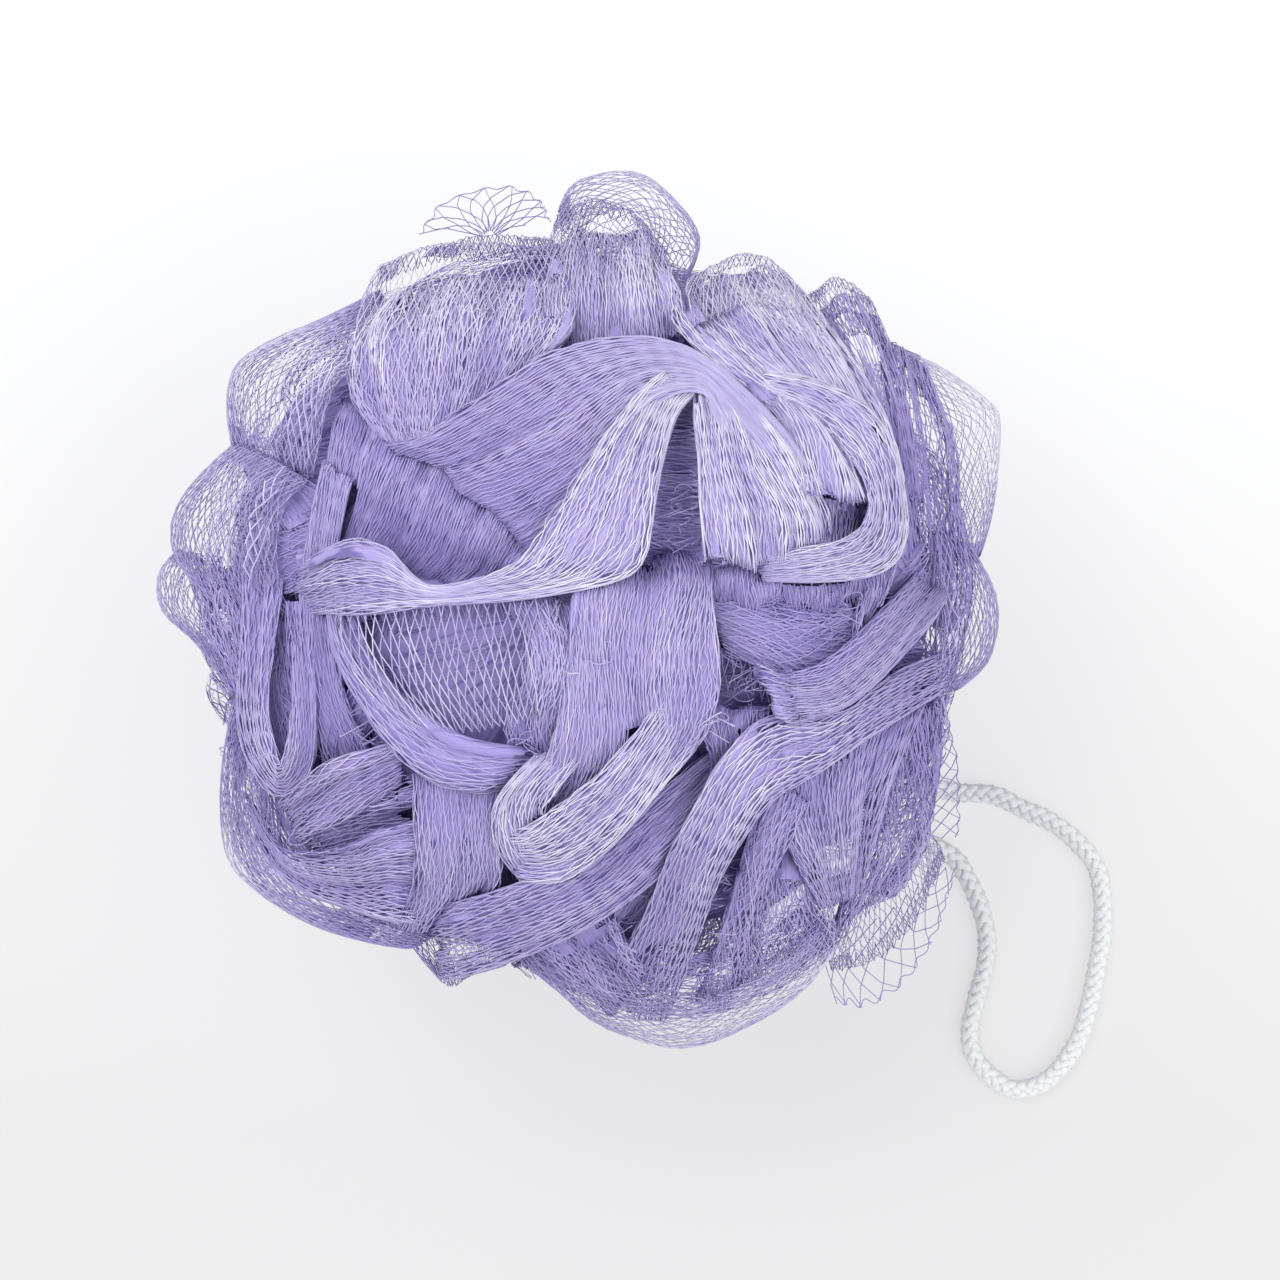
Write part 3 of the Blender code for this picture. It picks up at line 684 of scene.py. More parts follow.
lower_right_fringe cut 0 0 0 0 0.45
-12 832,934 880,920 922,885 945,845
-13 826,962 868,965 915,935 952,862
-14 840,1010 872,1012 912,985 944,930 962,868
"""
Fold = namedtuple("Fold", "name kind dives tint veiled sections")


def read_fold(lines):
    """A fold, from its lines of the chart."""
    heading, *rows = lines.splitlines()
    name, kind, *dives, tint = heading.split()
    kind, _, veil = kind.partition("+")
    sections = []
    for row in rows:
        lift, *points = row.split()
        sections.append((float(lift), [[float(number) for number in point.split(",")] for point in points]))
    return Fold(name, kind, [float(dive) for dive in dives], float(tint), bool(veil), sections)


FOLDS = [read_fold(lines) for lines in FOLD_CHART.strip().split("\n\n")]
DEEP, LOWER, LOW = (Fold(name, "loose", (), tint, False, ())
                    for name, tint in (("deep", DEEP_SHADE), ("lower", LOWER_SHADE), ("low", LOWER_SHADE)))

# Holes between the folds where loose strands curl, on the chart, with their lift
TANGLES = [(668, 540, -3), (676, 510, -2), (735, 668, -4), (748, 690, -4), (532, 738, -2), (522, 752, -3),
           (375, 724, -5), (408, 780, -5), (785, 446, 0), (794, 462, 0), (728, 868, -5), (722, 890, -6),
           (245, 750, -6), (628, 905, -6), (640, 880, -5), (800, 625, -5), (820, 600, -5), (760, 610, -5),
           (365, 818, -6), (330, 830, -6), (430, 650, -3), (480, 655, -3), (590, 655, 0), (700, 720, 0)]
TANGLE_STRANDS = 9
TANGLE_STEPS = 14
TANGLE_REACH = 0.0026
TANGLE_RISE = 0.0006
# The last strand of a cut edge: its place and its wave along the sheet, and its steps
EDGE_PLACE = 0.965
EDGE_WAVE = 0.035
EDGE_STEPS = 160

LOOP_ROUTE = [
    (0.0606, -0.0297), (0.0670, -0.0302), (0.0719, -0.0325), (0.0767, -0.0347), (0.0807, -0.0378),
    (0.0839, -0.0418), (0.0849, -0.0466), (0.0850, -0.0523), (0.0842, -0.0579), (0.0831, -0.0635),
    (0.0815, -0.0692), (0.0788, -0.0740), (0.0751, -0.0775), (0.0706, -0.0785), (0.0667, -0.0764),
    (0.0638, -0.0727), (0.0633, -0.0684), (0.0644, -0.0635), (0.0657, -0.0587), (0.0661, -0.0539),
    (0.0651, -0.0490), (0.0630, -0.0442), (0.0598, -0.0399)]
UPPER_LEG = [(0.0130, -0.0048, 0.0520), (0.0235, -0.0095, 0.0400), (0.0345, -0.0170, 0.0235),
             (0.0440, -0.0235, 0.0110), (0.0520, -0.0275, 0.0045)]
LOWER_LEG = [(0.0110, -0.0088, 0.0510), (0.0180, -0.0190, 0.0380), (0.0290, -0.0270, 0.0225),
             (0.0410, -0.0325, 0.0110), (0.0505, -0.0358, 0.0045)]


class NetSettings(bpy.types.PropertyGroup):
    """The net's strands and colours, with painted light on the crests and painted shade deeper in."""
    strand: FloatProperty(name="Strand", description="Width of one strand", default=0.00019, unit="LENGTH")
    open_strand: FloatProperty(name="Open strand", description="Thickness of a strand at the rims",
                               default=0.00016, unit="LENGTH")
    window_strand: FloatProperty(name="Window strand", description="Thickness where the net is spread",
                                 default=0.00025, unit="LENGTH")
    seed: IntProperty(name="Seed", description="Start of the rumples' chance", default=7)
    # Painted glint: the palest colour stands in for the highlights on strands that catch the light
    painted_glint: FloatVectorProperty(name="Glint", description="Colour of the palest strands", subtype="COLOR",
                               default=(0.77, 0.745, 0.90))
    # Painted light: the lit colour on the crests, which face the lamps
    light: FloatVectorProperty(name="Light", description="Colour on the crests", subtype="COLOR",
                               default=(0.53, 0.485, 0.745))
    # Painted half shade on the slopes, between the lit crests and the creases
    middle: FloatVectorProperty(name="Middle", description="Colour on the slopes", subtype="COLOR",
                                default=(0.405, 0.35, 0.67))
    # Painted shade deep between the folds, where less light reaches
    crease_shade: FloatVectorProperty(name="Crease", description="Colour deep between the folds", subtype="COLOR",
                                default=(0.325, 0.27, 0.60))
    # Painted shade seen through the slits, deep inside the net
    gap: FloatVectorProperty(name="Gap", description="Colour seen through slits", subtype="COLOR",
                             default=(0.155, 0.125, 0.37))


class CordSettings(bpy.types.PropertyGroup):
    """The braided cord."""
    pitch: FloatProperty(name="Pitch", description="Length of one turn of a carrier", default=0.0076,
                         unit="LENGTH")
    colour: FloatVectorProperty(name="Colour", description="Colour of the yarn", subtype="COLOR",
                                default=(0.74, 0.77, 0.78))


class StageSettings(bpy.types.PropertyGroup):
    """The floor and the lights."""
    floor: FloatVectorProperty(name="Floor", description="Colour of the floor in front", subtype="COLOR",
                               default=(0.78, 0.775, 0.785))
    back: FloatVectorProperty(name="Back", description="Colour of the floor behind", subtype="COLOR",
                              default=(0.97, 0.98, 0.98))
    glow: FloatProperty(name="Glow", description="Share of its own colour that the floor shows the camera",
                        default=0.72, min=0, max=1)
    key: FloatProperty(name="Key", description="Power of the key light", default=6.3, unit="POWER")
    fill: FloatProperty(name="Fill", description="Power of the fill light", default=5.0, unit="POWER")
    sky: FloatProperty(name="Sky", description="Strength of the surrounding light", default=0.74)


def dome(across, along):
    """Height of the ball's upper outline above its waist, at places in plan."""
    reach = DOME_REACH * POUF_DIAMETER / 2
    share = np.minimum(1.0, np.hypot(across, along) / reach)
    return (POUF_HEIGHT - WAIST_HEIGHT - FOLD_ROOM) * (1 - share ** DOME_POWER)


def chart_point(right, down, lift):
    """A point of the fold chart, in metres."""
    across = (right - CHART_CENTRE[0]) * CHART
    along = (CHART_CENTRE[1] - down) * CHART
    return np.array([across, along, WAIST_HEIGHT + dome(across, along) + lift * LIFT])


def smooth_line(points, count):
    """Count points, evenly spread in number, on a Catmull-Rom curve through these."""
    points = np.asarray(points, float)
    ends = [2 * points[0] - points[1]], [2 * points[-1] - points[-2]]
    padded = np.concatenate([ends[0], points, ends[1]])
    place = np.linspace(0, len(points) - 1, count)
    first = np.minimum(place.astype(int), len(points) - 2)
    t = (place - first).reshape(-1, *[1] * (points.ndim - 1))
    before, here, there, after = (padded[first + k] for k in range(4))
    return 0.5 * (2 * here + (there - before) * t + (2 * before - 5 * here + 4 * there - after) * t ** 2
                  + (3 * here - before - 3 * there + after) * t ** 3)


def lowered(point, towards, share, drop):
    """A point moved a share of the way towards another in plan, and lowered."""
    moved = point + (towards - point) * share
    moved[..., 2] = point[..., 2] - drop
    return moved


def turned_under(edge, inner, depth):
    """The points that carry a sheet past its edge, down and back under it."""
    if depth == 0:
        return []
    return [lowered(edge, inner, TURN_IN, 0.5 * depth), lowered(edge, inner, 0.5, depth)]


def tucked_in(edge, inner, depth):
    """The points that carry a rim past the ball's outline, down and back in to the lower folds."""
    axis = np.zeros(3)
    share = max(0.0, 1 - TUCK_RADIUS / math.hypot(edge[0], edge[1]))
    drop = depth + RIM_DROP
    return [lowered(edge, inner, TURN_IN, 0.4 * drop), lowered(edge, axis, 0.3 * share, 0.8 * drop),
            lowered(edge, axis, share, 1.1 * drop)]


def fold_sheet(fold):
    """A fold's sheet as rows of points: along the strands by across them, all four edges turned under."""
    share = DIVE_SHARE if fold.kind in CLOSED else 1
    start, end, near, far = (depth * share * LIFT for depth in fold.dives)
    far_turn = tucked_in if fold.kind in ("open", "sheer") else turned_under
    rows = []
    for lift, outline in fold.sections:
        line = [chart_point(right, down, lift + sum(more)) for right, down, *more in outline]
        near_edge = turned_under(line[0], line[1], near)[::-1]
        far_edge = far_turn(line[-1], line[-2], far)
        rows.append(smooth_line([*near_edge, *line, *far_edge], SHEET_SAMPLES))
    first = turned_under(rows[0], rows[1], start)[::-1]
    last = turned_under(rows[-1], rows[-2], end)
    return smooth_line(np.array([*first, *rows, *last]), SHEET_SAMPLES)


def outline_reach():
    """How far the chart's folds reach from the centre in plan, in each of a ring of directions."""
    points = np.array([chart_point(*place[:2], lift) for fold in FOLDS for lift, outline in fold.sections
                       for place in outline])
    turns = np.arctan2(points[:, 1], points[:, 0])
    reach = np.hypot(points[:, 0], points[:, 1])
    step = math.tau / OUTLINE_STEPS
    return [reach[np.cos(turns - k * step) > math.cos(step)].max() for k in range(OUTLINE_STEPS)]


REACH = outline_reach()


def ball_point(turn, rise, radius):
    """A point at an azimuth and an elevation, in radians, from the waist's centre. The lower half is
    squashed, and stays inside the outline."""
    room = np.interp(turn, np.linspace(0, math.tau, OUTLINE_STEPS + 1), [*REACH, REACH[0]], period=math.tau)
    flat = min(radius * math.cos(rise), room - OUTLINE_ROOM)
    return np.array([flat * math.cos(turn), flat * math.sin(turn),
                     WAIST_HEIGHT + FOOT_SQUASH * radius * math.sin(rise)])


def lower_fold(number):
    """A fold of the lower half, which fans out from one end to the other. The folds follow a spiral down,
    some of them drawn further in than others."""
    share = (number + 0.5) / LOWER_FOLDS
    rise = -math.asin(LOWER_START + LOWER_SPAN * share)
    turn = number * GOLDEN_TURN
    heading = LOWER_HEADING * number
    bend = LOWER_BEND * math.sin(1.3 * number)
    length = LOWER_FOLD_LENGTH * (1 + LOWER_VARIES * math.sin(2.9 * number))
    width = LOWER_FOLD_WIDTH * (1 + LOWER_VARIES * math.cos(1.7 * number))
    layer = LOWER_LAYERS * (GOLDEN_SHARE * number % 1)
    crest = POUF_DIAMETER / 2 - LOWER_DRAWN_IN - layer
    rows = []
    for step, sink in LOWER_STEPS:
        way = heading + bend * step
        spread = width * (0.9 + 0.6 * step)
        line = []
        for side, drop in LOWER_SIDES:
            ahead = length * step * math.cos(way) - spread * side * math.sin(way)
            aside = length * step * math.sin(way) + spread * side * math.cos(way)
            depth = LOWER_FOLD_DEPTH * max(sink, drop)
            place = rise + aside / crest
            line.append(ball_point(turn + ahead / (crest * max(0.35, math.cos(rise))), place, crest - depth))
        rows.append(smooth_line(line, SHEET_SAMPLES))
    return smooth_line(np.array(rows), SHEET_SAMPLES)


def deep_fold(chance, number):
    """A fold of the layers that lie under the crown, somewhere on the upper half."""
    share = (number + 0.5) / DEEP_FOLDS
    reach = DEEP_SPREAD * POUF_DIAMETER / 2 * math.sqrt(share)
    turn = number * GOLDEN_TURN
    centre = np.array([reach * math.cos(turn), reach * math.sin(turn)])
    heading = chance.uniform(0, math.pi)
    length = chance.uniform(*DEEP_LENGTHS)
    width = chance.uniform(*DEEP_WIDTHS)
    bend = chance.uniform(-0.5, 0.5)
    sink = chance.uniform(*DEEP_SINKS)
    rows = []
    for step in np.linspace(-0.5, 0.5, 4):
        way = heading + bend * step * 2
        middle = centre + length * step * np.array([math.cos(way), math.sin(way)])
        side = np.array([-math.sin(way), math.cos(way)])
        line = []
        for share, drop in DEEP_SIDES:
            place = middle + side * share * width * (1.25 - abs(step))
            place *= min(1.0, DEEP_REACH / math.hypot(*place))
            line.append([*place, WAIST_HEIGHT + dome(*place) - sink - drop - DEEP_DIP * abs(step)])
        rows.append(smooth_line(line, SHEET_SAMPLES))
    return smooth_line(np.array(rows), SHEET_SAMPLES)


def unit(vectors):
    """The directions of vectors."""
    return vectors / (np.linalg.norm(vectors, axis=-1, keepdims=True) + 1e-12)


def steps(points, axis=0):
    """How far neighbouring points lie from each other along an axis of their grid."""
    return np.linalg.norm(np.diff(points, axis=axis), axis=-1)


def sheet_normals(rows):
    """Outward directions at a sheet's points."""
    normals = unit(np.cross(np.gradient(rows, axis=0), np.gradient(rows, axis=1)))
    middle = rows[len(rows) // 2, rows.shape[1] // 2] - np.array([0, 0, WAIST_HEIGHT])
    facing = float(np.dot(normals[len(rows) // 2, rows.shape[1] // 2], middle))
    return normals if facing > 0 else -normals


def sheet_size(rows):
    """A sheet's widest width and its mean length."""
    return float(np.percentile(steps(rows, 1).sum(axis=1), 80)), float(steps(rows).sum(axis=0).mean())


def on_sheet(rows, along, across):
    """Points on a sheet at shares of its length and width."""
    last_row, last_column = rows.shape[0] - 1, rows.shape[1] - 1
    r = np.clip(along, 0, 1) * last_row
    c = np.clip(across, 0, 1) * last_column
    r0 = np.minimum(r.astype(int), last_row - 1)
    c0 = np.minimum(c.astype(int), last_column - 1)
    fr, fc = (r - r0)[..., None], (c - c0)[..., None]
    return ((rows[r0, c0] * (1 - fc) + rows[r0, c0 + 1] * fc) * (1 - fr)
            + (rows[r0 + 1, c0] * (1 - fc) + rows[r0 + 1, c0 + 1] * fc) * fr)


def even_shares(gaps, count):
    """Shares of a line's samples that are evenly spaced along it."""
    reach = np.concatenate([[0], np.cumsum(gaps)])
    return np.interp(np.linspace(0, reach[-1], count), reach, np.linspace(0, 1, len(reach)))


def evened(rows):
    """The sheet with its points evenly spaced, close enough for its rumples."""
    width, length = sheet_size(rows)
    along = even_shares(steps(rows).mean(axis=1), max(8, int(length / SHEET_LONG)))
    across = even_shares(steps(rows, 1).mean(axis=0), max(8, int(width / SHEET_WIDE)))
    return on_sheet(rows, *np.meshgrid(along, across, indexing="ij"))


def rumpled(rows, chance, strength=1.0):
    """The sheet with the soft wrinkles that run along its strands."""
    width, _ = sheet_size(rows)
    across = np.linspace(0, 1, rows.shape[1])[None, :]
    along = np.linspace(0, 1, rows.shape[0])[:, None]
    height = np.zeros(rows.shape[:2])
    for wave in RUMPLES:
        phase, turn, lean = chance.uniform(0, math.tau, 3)
        wander = chance.uniform(0.5, 1.5) * np.sin(math.tau * chance.uniform(0.5, 1.3) * along + turn)
        swell = 0.6 + 0.4 * np.sin(math.tau * chance.uniform(0.5, 1.6) * along + lean)
        height += RUMPLE_SHARE * wave * swell * np.sin(math.tau * width / wave * across + phase + wander)
    widths = steps(rows, 1).sum(axis=1)
    grown = strength * np.clip(widths / widths.max(), WIDTH_LEAST, 1)[:, None]
    return rows + sheet_normals(rows) * (height * grown)[..., None]


def grid_of(rows):
    """A small grid of points over a sheet."""
    shares = np.linspace(0, 1, SIGHT_GRID)
    return on_sheet(rows, *np.meshgrid(shares, shares, indexing="ij"))


def grid_quads(down, wide):
    """The quads of a grid of points."""
    index = np.arange(down * wide).reshape(down, wide)
    return np.stack([index[:-1, :-1], index[:-1, 1:], index[1:, 1:], index[1:, :-1]], axis=-1).reshape(-1, 4)


def cover_of(sheets):
    """The sheets' close layers as one tree, to find what they hide."""
    points, faces = [], []
    quads = grid_quads(SIGHT_GRID, SIGHT_GRID)
    for rows in sheets:
        grid = grid_of(rows).reshape(-1, 3)
        shut = np.hypot(grid[:, 0], grid[:, 1]) < CLOSE_REACH
        faces += (quads[shut[quads].all(axis=1)] + len(points)).tolist()
        points += grid.tolist()
    return BVHTree.FromPolygons(points, faces)


def sight_lines():
    """Directions spread evenly over a sphere."""
    number = np.arange(SIGHT_LINES) + 0.5
    level = 1 - 2 * number / SIGHT_LINES
    turn = number * GOLDEN_TURN
    flat = np.sqrt(1 - level ** 2)
    return np.stack([flat * np.cos(turn), flat * np.sin(turn), level], axis=1)


def shown(rows, cover):
    """Where a sheet can be seen from outside, as a small grid: 1 there, 0 where it is hidden."""
    grid = grid_of(rows)
    normals = sheet_normals(grid)
    ways = sight_lines()
    seen = np.zeros(grid.shape[:2])
    for place in np.ndindex(seen.shape):
        facing = ways @ normals[place]
        start = Vector(grid[place] + SIGHT_CLEAR * normals[place])
        for k in np.argsort(-facing)[:int(SIGHT_LINES * SIGHT_SHARE)]:
            seen[place] += cover.ray_cast(start, Vector(ways[k]))[0] is None
    return np.minimum(1, seen / SIGHT_NEEDED)


def deepness(points):
    """How deep points lie below the ball's outline, from 0 to 1."""
    above = points - np.array([0, 0, WAIST_HEIGHT])
    under_dome = dome(points[:, 0], points[:, 1]) + DEEP_START - above[:, 2]
    under_ball = POUF_DIAMETER / 2 - np.linalg.norm(above, axis=1)
    return np.clip(np.minimum(under_dome, under_ball) / DEEPEST, 0, 1)


def bunched(x, y, turns):
    """How far the strands at these places draw together into locks, across the sheet."""
    lock = np.sin(math.tau * x / LOCK_WIDTH + turns[0] + 1.5 * np.sin(math.tau * y / LOCK_BEND + turns[1]))
    fade = np.sin(math.tau * y / LOCK_LENGTH + turns[2] + 2.5 * np.sin(math.tau * x / LOCK_SHIFT + turns[3]))
    return BUNCHING * lock * fade


def joined(lots):
    """Several lots as one: their points, their quads and their values by point."""
    starts = np.cumsum([0] + [len(lot[0]) for lot in lots[:-1]])
    quads = np.concatenate([lot[1] + start for lot, start in zip(lots, starts)])
    points, _, *values = zip(*lots)
    return np.concatenate(points), quads, *map(np.concatenate, values)


def strands(rows, net, thickness, form, chance, seen, shift=0.0, tint=0.0, reach=1.0):
    """Two crossing families of strands over the seen part of a sheet, out to a reach from the ball's axis, as
    a lot: their points, quads, tones carrying their fold's painted shade, and lays."""
    wide, long = NETS[net]
    normals = sheet_normals(rows)
    width, length = sheet_size(rows)
    n = max(2, round(width / wide))
    k = max(2, round(length / long))
    fine = 2 if net in CLOSED else 1
    b = np.arange(2 * fine * k + 1)[None, :]
    slide = chance.uniform(-0.5, 0.5) / n
    turns = chance.uniform(0, math.tau, 4)
    families = []
    for way in (1, -1):
        c = np.arange(min(0, -2 * k * way), 2 * n + 1 + max(0, -2 * k * way), 2)[:, None]
        a = c + way * b / fine
        ok = (a >= 0) & (a <= 2 * n)
        sway = np.sin(math.tau * chance.uniform(0, 1, c.shape) + b * chance.uniform(0.5, 1.1, c.shape))
        across = a / (2 * n) + SWAY * sway / n + chance.normal(0, STRAY_ACROSS, a.shape) / n + slide
        along = b / (2 * fine * k) + chance.normal(0, STRAY_ALONG, a.shape) / (fine * k)
        along[:, 0], along[:, -1] = 0, 1
        across = across + bunched(across * width, along * length, turns) / width
        place = on_sheet(rows, along, across)
        normal = unit(on_sheet(normals, along, across))
        side = unit(np.cross(unit(np.gradient(place, axis=1)), normal))
        place = place + normal * (shift + CROSSING * way * thickness)
        if form == "ribbon":
            lean = LEAN * np.sin(chance.uniform(0, 6.3, c.shape) + LEAN_TURN * b)[..., None]
            flat = (side * np.cos(lean) + normal * np.sin(lean)) * thickness / 2
            ring = np.stack([place - flat, place + flat], axis=2)
        else:
            ring = np.stack([place + (side * math.cos(turn) + normal * math.sin(turn)) * thickness / 2
                             for turn in (-math.pi / 6, math.pi / 2, math.pi * 7 / 6)], axis=2)
        count = ring.shape[2]
        ok &= on_sheet(seen[..., None], along, across)[..., 0] > SEEN_LEAST
        ok &= np.hypot(place[..., 0], place[..., 1]) < reach
        index = np.zeros(a.shape, int)
        index[ok] = np.arange(ok.sum()) * count
        # Random tone by strand and by point; the palest strands reach the painted glint
        tone = chance.normal(0, 1, c.shape) * STRAND_TONE + chance.normal(0, 1, a.shape) * POINT_TONE
        both = ok[:, :-1] & ok[:, 1:]
        first, second = index[:, :-1][both], index[:, 1:][both]
        quads = [np.stack([first + s, second + s, second + (s + 1) % count, first + (s + 1) % count], axis=1)
                 for s in range(SIDES[form])]
        points = ring[ok].reshape(-1, 3)
        tones = np.repeat(tone[ok] * TONES + tint, count)
        families.append((points, np.concatenate(quads), tones, np.zeros_like(points)))
    return joined(families)


def thread(line, thickness, tint):
    """One strand along a line, as a lot."""
    tube, quads = yarn_tube(line, *line_frames(line), thickness, thickness, 3)
    return tube, quads, np.full(len(tube), tint), np.zeros_like(tube)


def tangle(centre, thickness, chance):
    """Loose curled strands in a hole between folds, as a lot."""
    curls = []
    for _ in range(TANGLE_STRANDS):
        turn, way = chance.uniform(0, math.tau, 2)
        reach = TANGLE_REACH * chance.uniform(0.4, 1.0)
        middle = centre + np.array([*chance.normal(0, 0.6 * TANGLE_REACH, 2), chance.normal(0, TANGLE_RISE)])
        angles = turn + np.linspace(0, chance.uniform(2.0, 4.5), TANGLE_STEPS)
        wave = reach * (1 + 0.25 * np.sin(2.3 * angles + way))
        line = middle + np.stack([wave * np.cos(angles), 0.6 * wave * np.sin(angles + way),
                                  0.25 * reach * np.sin(1.7 * angles)], axis=1)
        curls.append(thread(line, thickness, chance.normal(0, 1) * TONES))
    return joined(curls)


def edge_strand(rows, thickness, tint):
    """The last strand of a cut edge, which closes its cells, as a lot."""
    across = np.linspace(0, 1, EDGE_STEPS)[None, :]
    cells = sheet_size(rows)[0] / NETS["cut"][0]
    along = EDGE_PLACE - EDGE_WAVE * np.cos(math.tau * across * cells)
    return thread(on_sheet(rows, along, across)[0], thickness, tint)


def close_layer(rows, chance, seen, tint):
    """The closer net under a fold's strands, where it is seen, as a grid with its lay in millimetres."""
    rows = rows[:, ::2] if rows.shape[1] % 2 else np.concatenate([rows[:, ::2], rows[:, -1:]], axis=1)
    normals = sheet_normals(rows)
    points = (rows + normals * LAYER_SHIFT).reshape(-1, 3)
    width, length = sheet_size(rows)
    down, wide = rows.shape[:2]
    along, across = np.meshgrid(np.linspace(0, 1, down), np.linspace(0, 1, wide), indexing="ij")
    kept = on_sheet(seen[..., None], along, across)[..., 0].ravel() > SEEN_LEAST
    ragged = chance.uniform(-LAYER_RAGGED, LAYER_RAGGED, down * wide)
    kept &= np.hypot(points[:, 0], points[:, 1]) < CLOSE_REACH + ragged
    quads = grid_quads(down, wide)
    quads = quads[kept[quads].all(axis=1)]
    if np.dot(np.cross(rows[0, 1] - rows[0, 0], rows[1, 0] - rows[0, 0]), normals[0, 0]) < 0:
        quads = quads[:, ::-1]
    lay = np.stack([across * width, along * length, across * 0], axis=-1).reshape(-1, 3) / LIFT
    return points, quads, np.full(len(points), tint), lay + chance.uniform(0, 90)


def quad_mesh(name, points, quads):
    """A smooth mesh of quads."""
    mesh = bpy.data.meshes.new(name)
    mesh.vertices.add(len(points))
    mesh.vertices.foreach_set("co", points.astype(np.float32).ravel())
    mesh.loops.add(quads.size)
    mesh.loops.foreach_set("vertex_index", quads.astype(np.int32).ravel())
    mesh.polygons.add(len(quads))
    mesh.polygons.foreach_set("loop_start", np.arange(0, quads.size, 4, dtype=np.int32))
    mesh.polygons.foreach_set("use_smooth", np.ones(len(quads), bool))
    mesh.update(calc_edges=True)
    return mesh


def add_fields(mesh, **fields):
    """Attributes with a number or a vector for each point of a mesh."""
    for title, values in fields.items():
        kind, part = ("FLOAT", "value") if values.ndim == 1 else ("FLOAT_VECTOR", "vector")
        field = mesh.attributes.new(title, kind, "POINT")
        field.data.foreach_set(part, values.astype(np.float32).ravel())


def new_object(name, mesh, material):
    """An object of a mesh in the scene."""
    mesh.materials.clear()
    mesh.materials.append(material)
    made = bpy.data.objects.new(name, mesh)
    bpy.context.scene.collection.objects.link(made)
    return made


def net_object(name, lots, material):
    """One object of several lots of net."""
    points, quads, tone, lay = joined(lots)
    points[:, 2] = np.maximum(points[:, 2], NET_LEAST)
    mesh = quad_mesh(name, points, quads)
    # deep sets the painted shade by depth; tone carries random tone, the painted glint and the fold's painted
    # shade
    add_fields(mesh, tone=tone, deep=deepness(points), lay=lay)
    made = new_object(name, mesh, material)
    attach(made, "root")
    return made


def new_material(name, colour, roughness):
    """A plain material, its node tree and its shader."""
    made = bpy.data.materials.new(name)
    made.use_nodes = True
    shader = made.node_tree.nodes["Principled BSDF"]
    shader.inputs["Base Color"].default_value = (*colour, 1)
    shader.inputs["Roughness"].default_value = roughness
    return made, made.node_tree, shader


def node(tree, kind, output=0, sockets=None, **settings):
    """A new node's output. Its sockets get values, or links where their value is another node's output."""
    made = tree.nodes.new("ShaderNode" + kind)
    for name, value in settings.items():
        setattr(made, name, value)
    for slot, value in (sockets or {}).items():
        if hasattr(value, "is_linked"):
            tree.links.new(value, made.inputs[slot])
        else:
            made.inputs[slot].default_value = value
    return made.outputs[output]


def attribute(tree, name, output="Fac"):
    """A mesh attribute's value."""
    return node(tree, "Attribute", output, attribute_name=name)


def maths(tree, operation, *values):
    """The result of a Math node, or of a row of them, from sockets or numbers."""
    total, *others = values
    for value in others:
        total = node(tree, "Math", 0, {0: total, 1: value}, operation=operation)
    return total


def mixed(tree, factor, first, second):
    """A Mix node's colour, from sockets or colours."""
    first, second = (value if hasattr(value, "is_linked") else (*value, 1) for value in (first, second))
    return node(tree, "Mix", "Result", {"Factor": factor, "A": first, "B": second}, data_type="RGBA")


def noise(tree, place, scale, detail):
    """A noise's value at a place."""
    return node(tree, "TexNoise", "Fac", {"Vector": place, "Scale": scale, "Detail": detail})


def bumped(tree, shader, height, strength, distance):
    """Give a shader bumps of a height."""
    bump = node(tree, "Bump", "Normal", {"Height": height, "Strength": strength, "Distance": distance})
    tree.links.new(bump, shader.inputs["Normal"])


def painted_depth_shade(tree, *extra):
    """The net's colour by depth: painted light on the crests and painted shade deeper in, with a painted
    glint at the palest end, soft patches and what is added.
    """
    net = bpy.context.scene.pouf_net
    patches = noise(tree, node(tree, "TexCoord", "Object"), PATCH_SCALE, 2)
    soft = maths(tree, "MULTIPLY", maths(tree, "SUBTRACT", patches, 0.5), PATCH_SHARE)
    factor = maths(tree, "ADD", attribute(tree, "deep"), soft, *extra, NET_TINT)
    ramp = tree.nodes.new("ShaderNodeValToRGB")
    tree.links.new(factor, ramp.inputs["Fac"])
    marks = ramp.color_ramp.elements
    # The ramp goes from the painted glint over painted light to painted shade in the creases
    for place, colour in ((LIGHT_PLACE, net.light), (MIDDLE_PLACE, net.middle)):
        marks.new(place).color = (*colour, 1)
    marks[0].color = (*net.painted_glint, 1)
    marks[-1].color = (*net.crease_shade, 1)
    return ramp.outputs["Color"]


def strand_material(name):
    """Lilac plastic strands, each with its own tone, with painted glints, painted light on the crests and
    painted shade deeper in.
    """
    made, tree, shader = new_material(name, (0.5, 0.45, 0.75), 0.34)
    tree.links.new(painted_depth_shade(tree, attribute(tree, "tone")), shader.inputs["Base Color"])
    return made


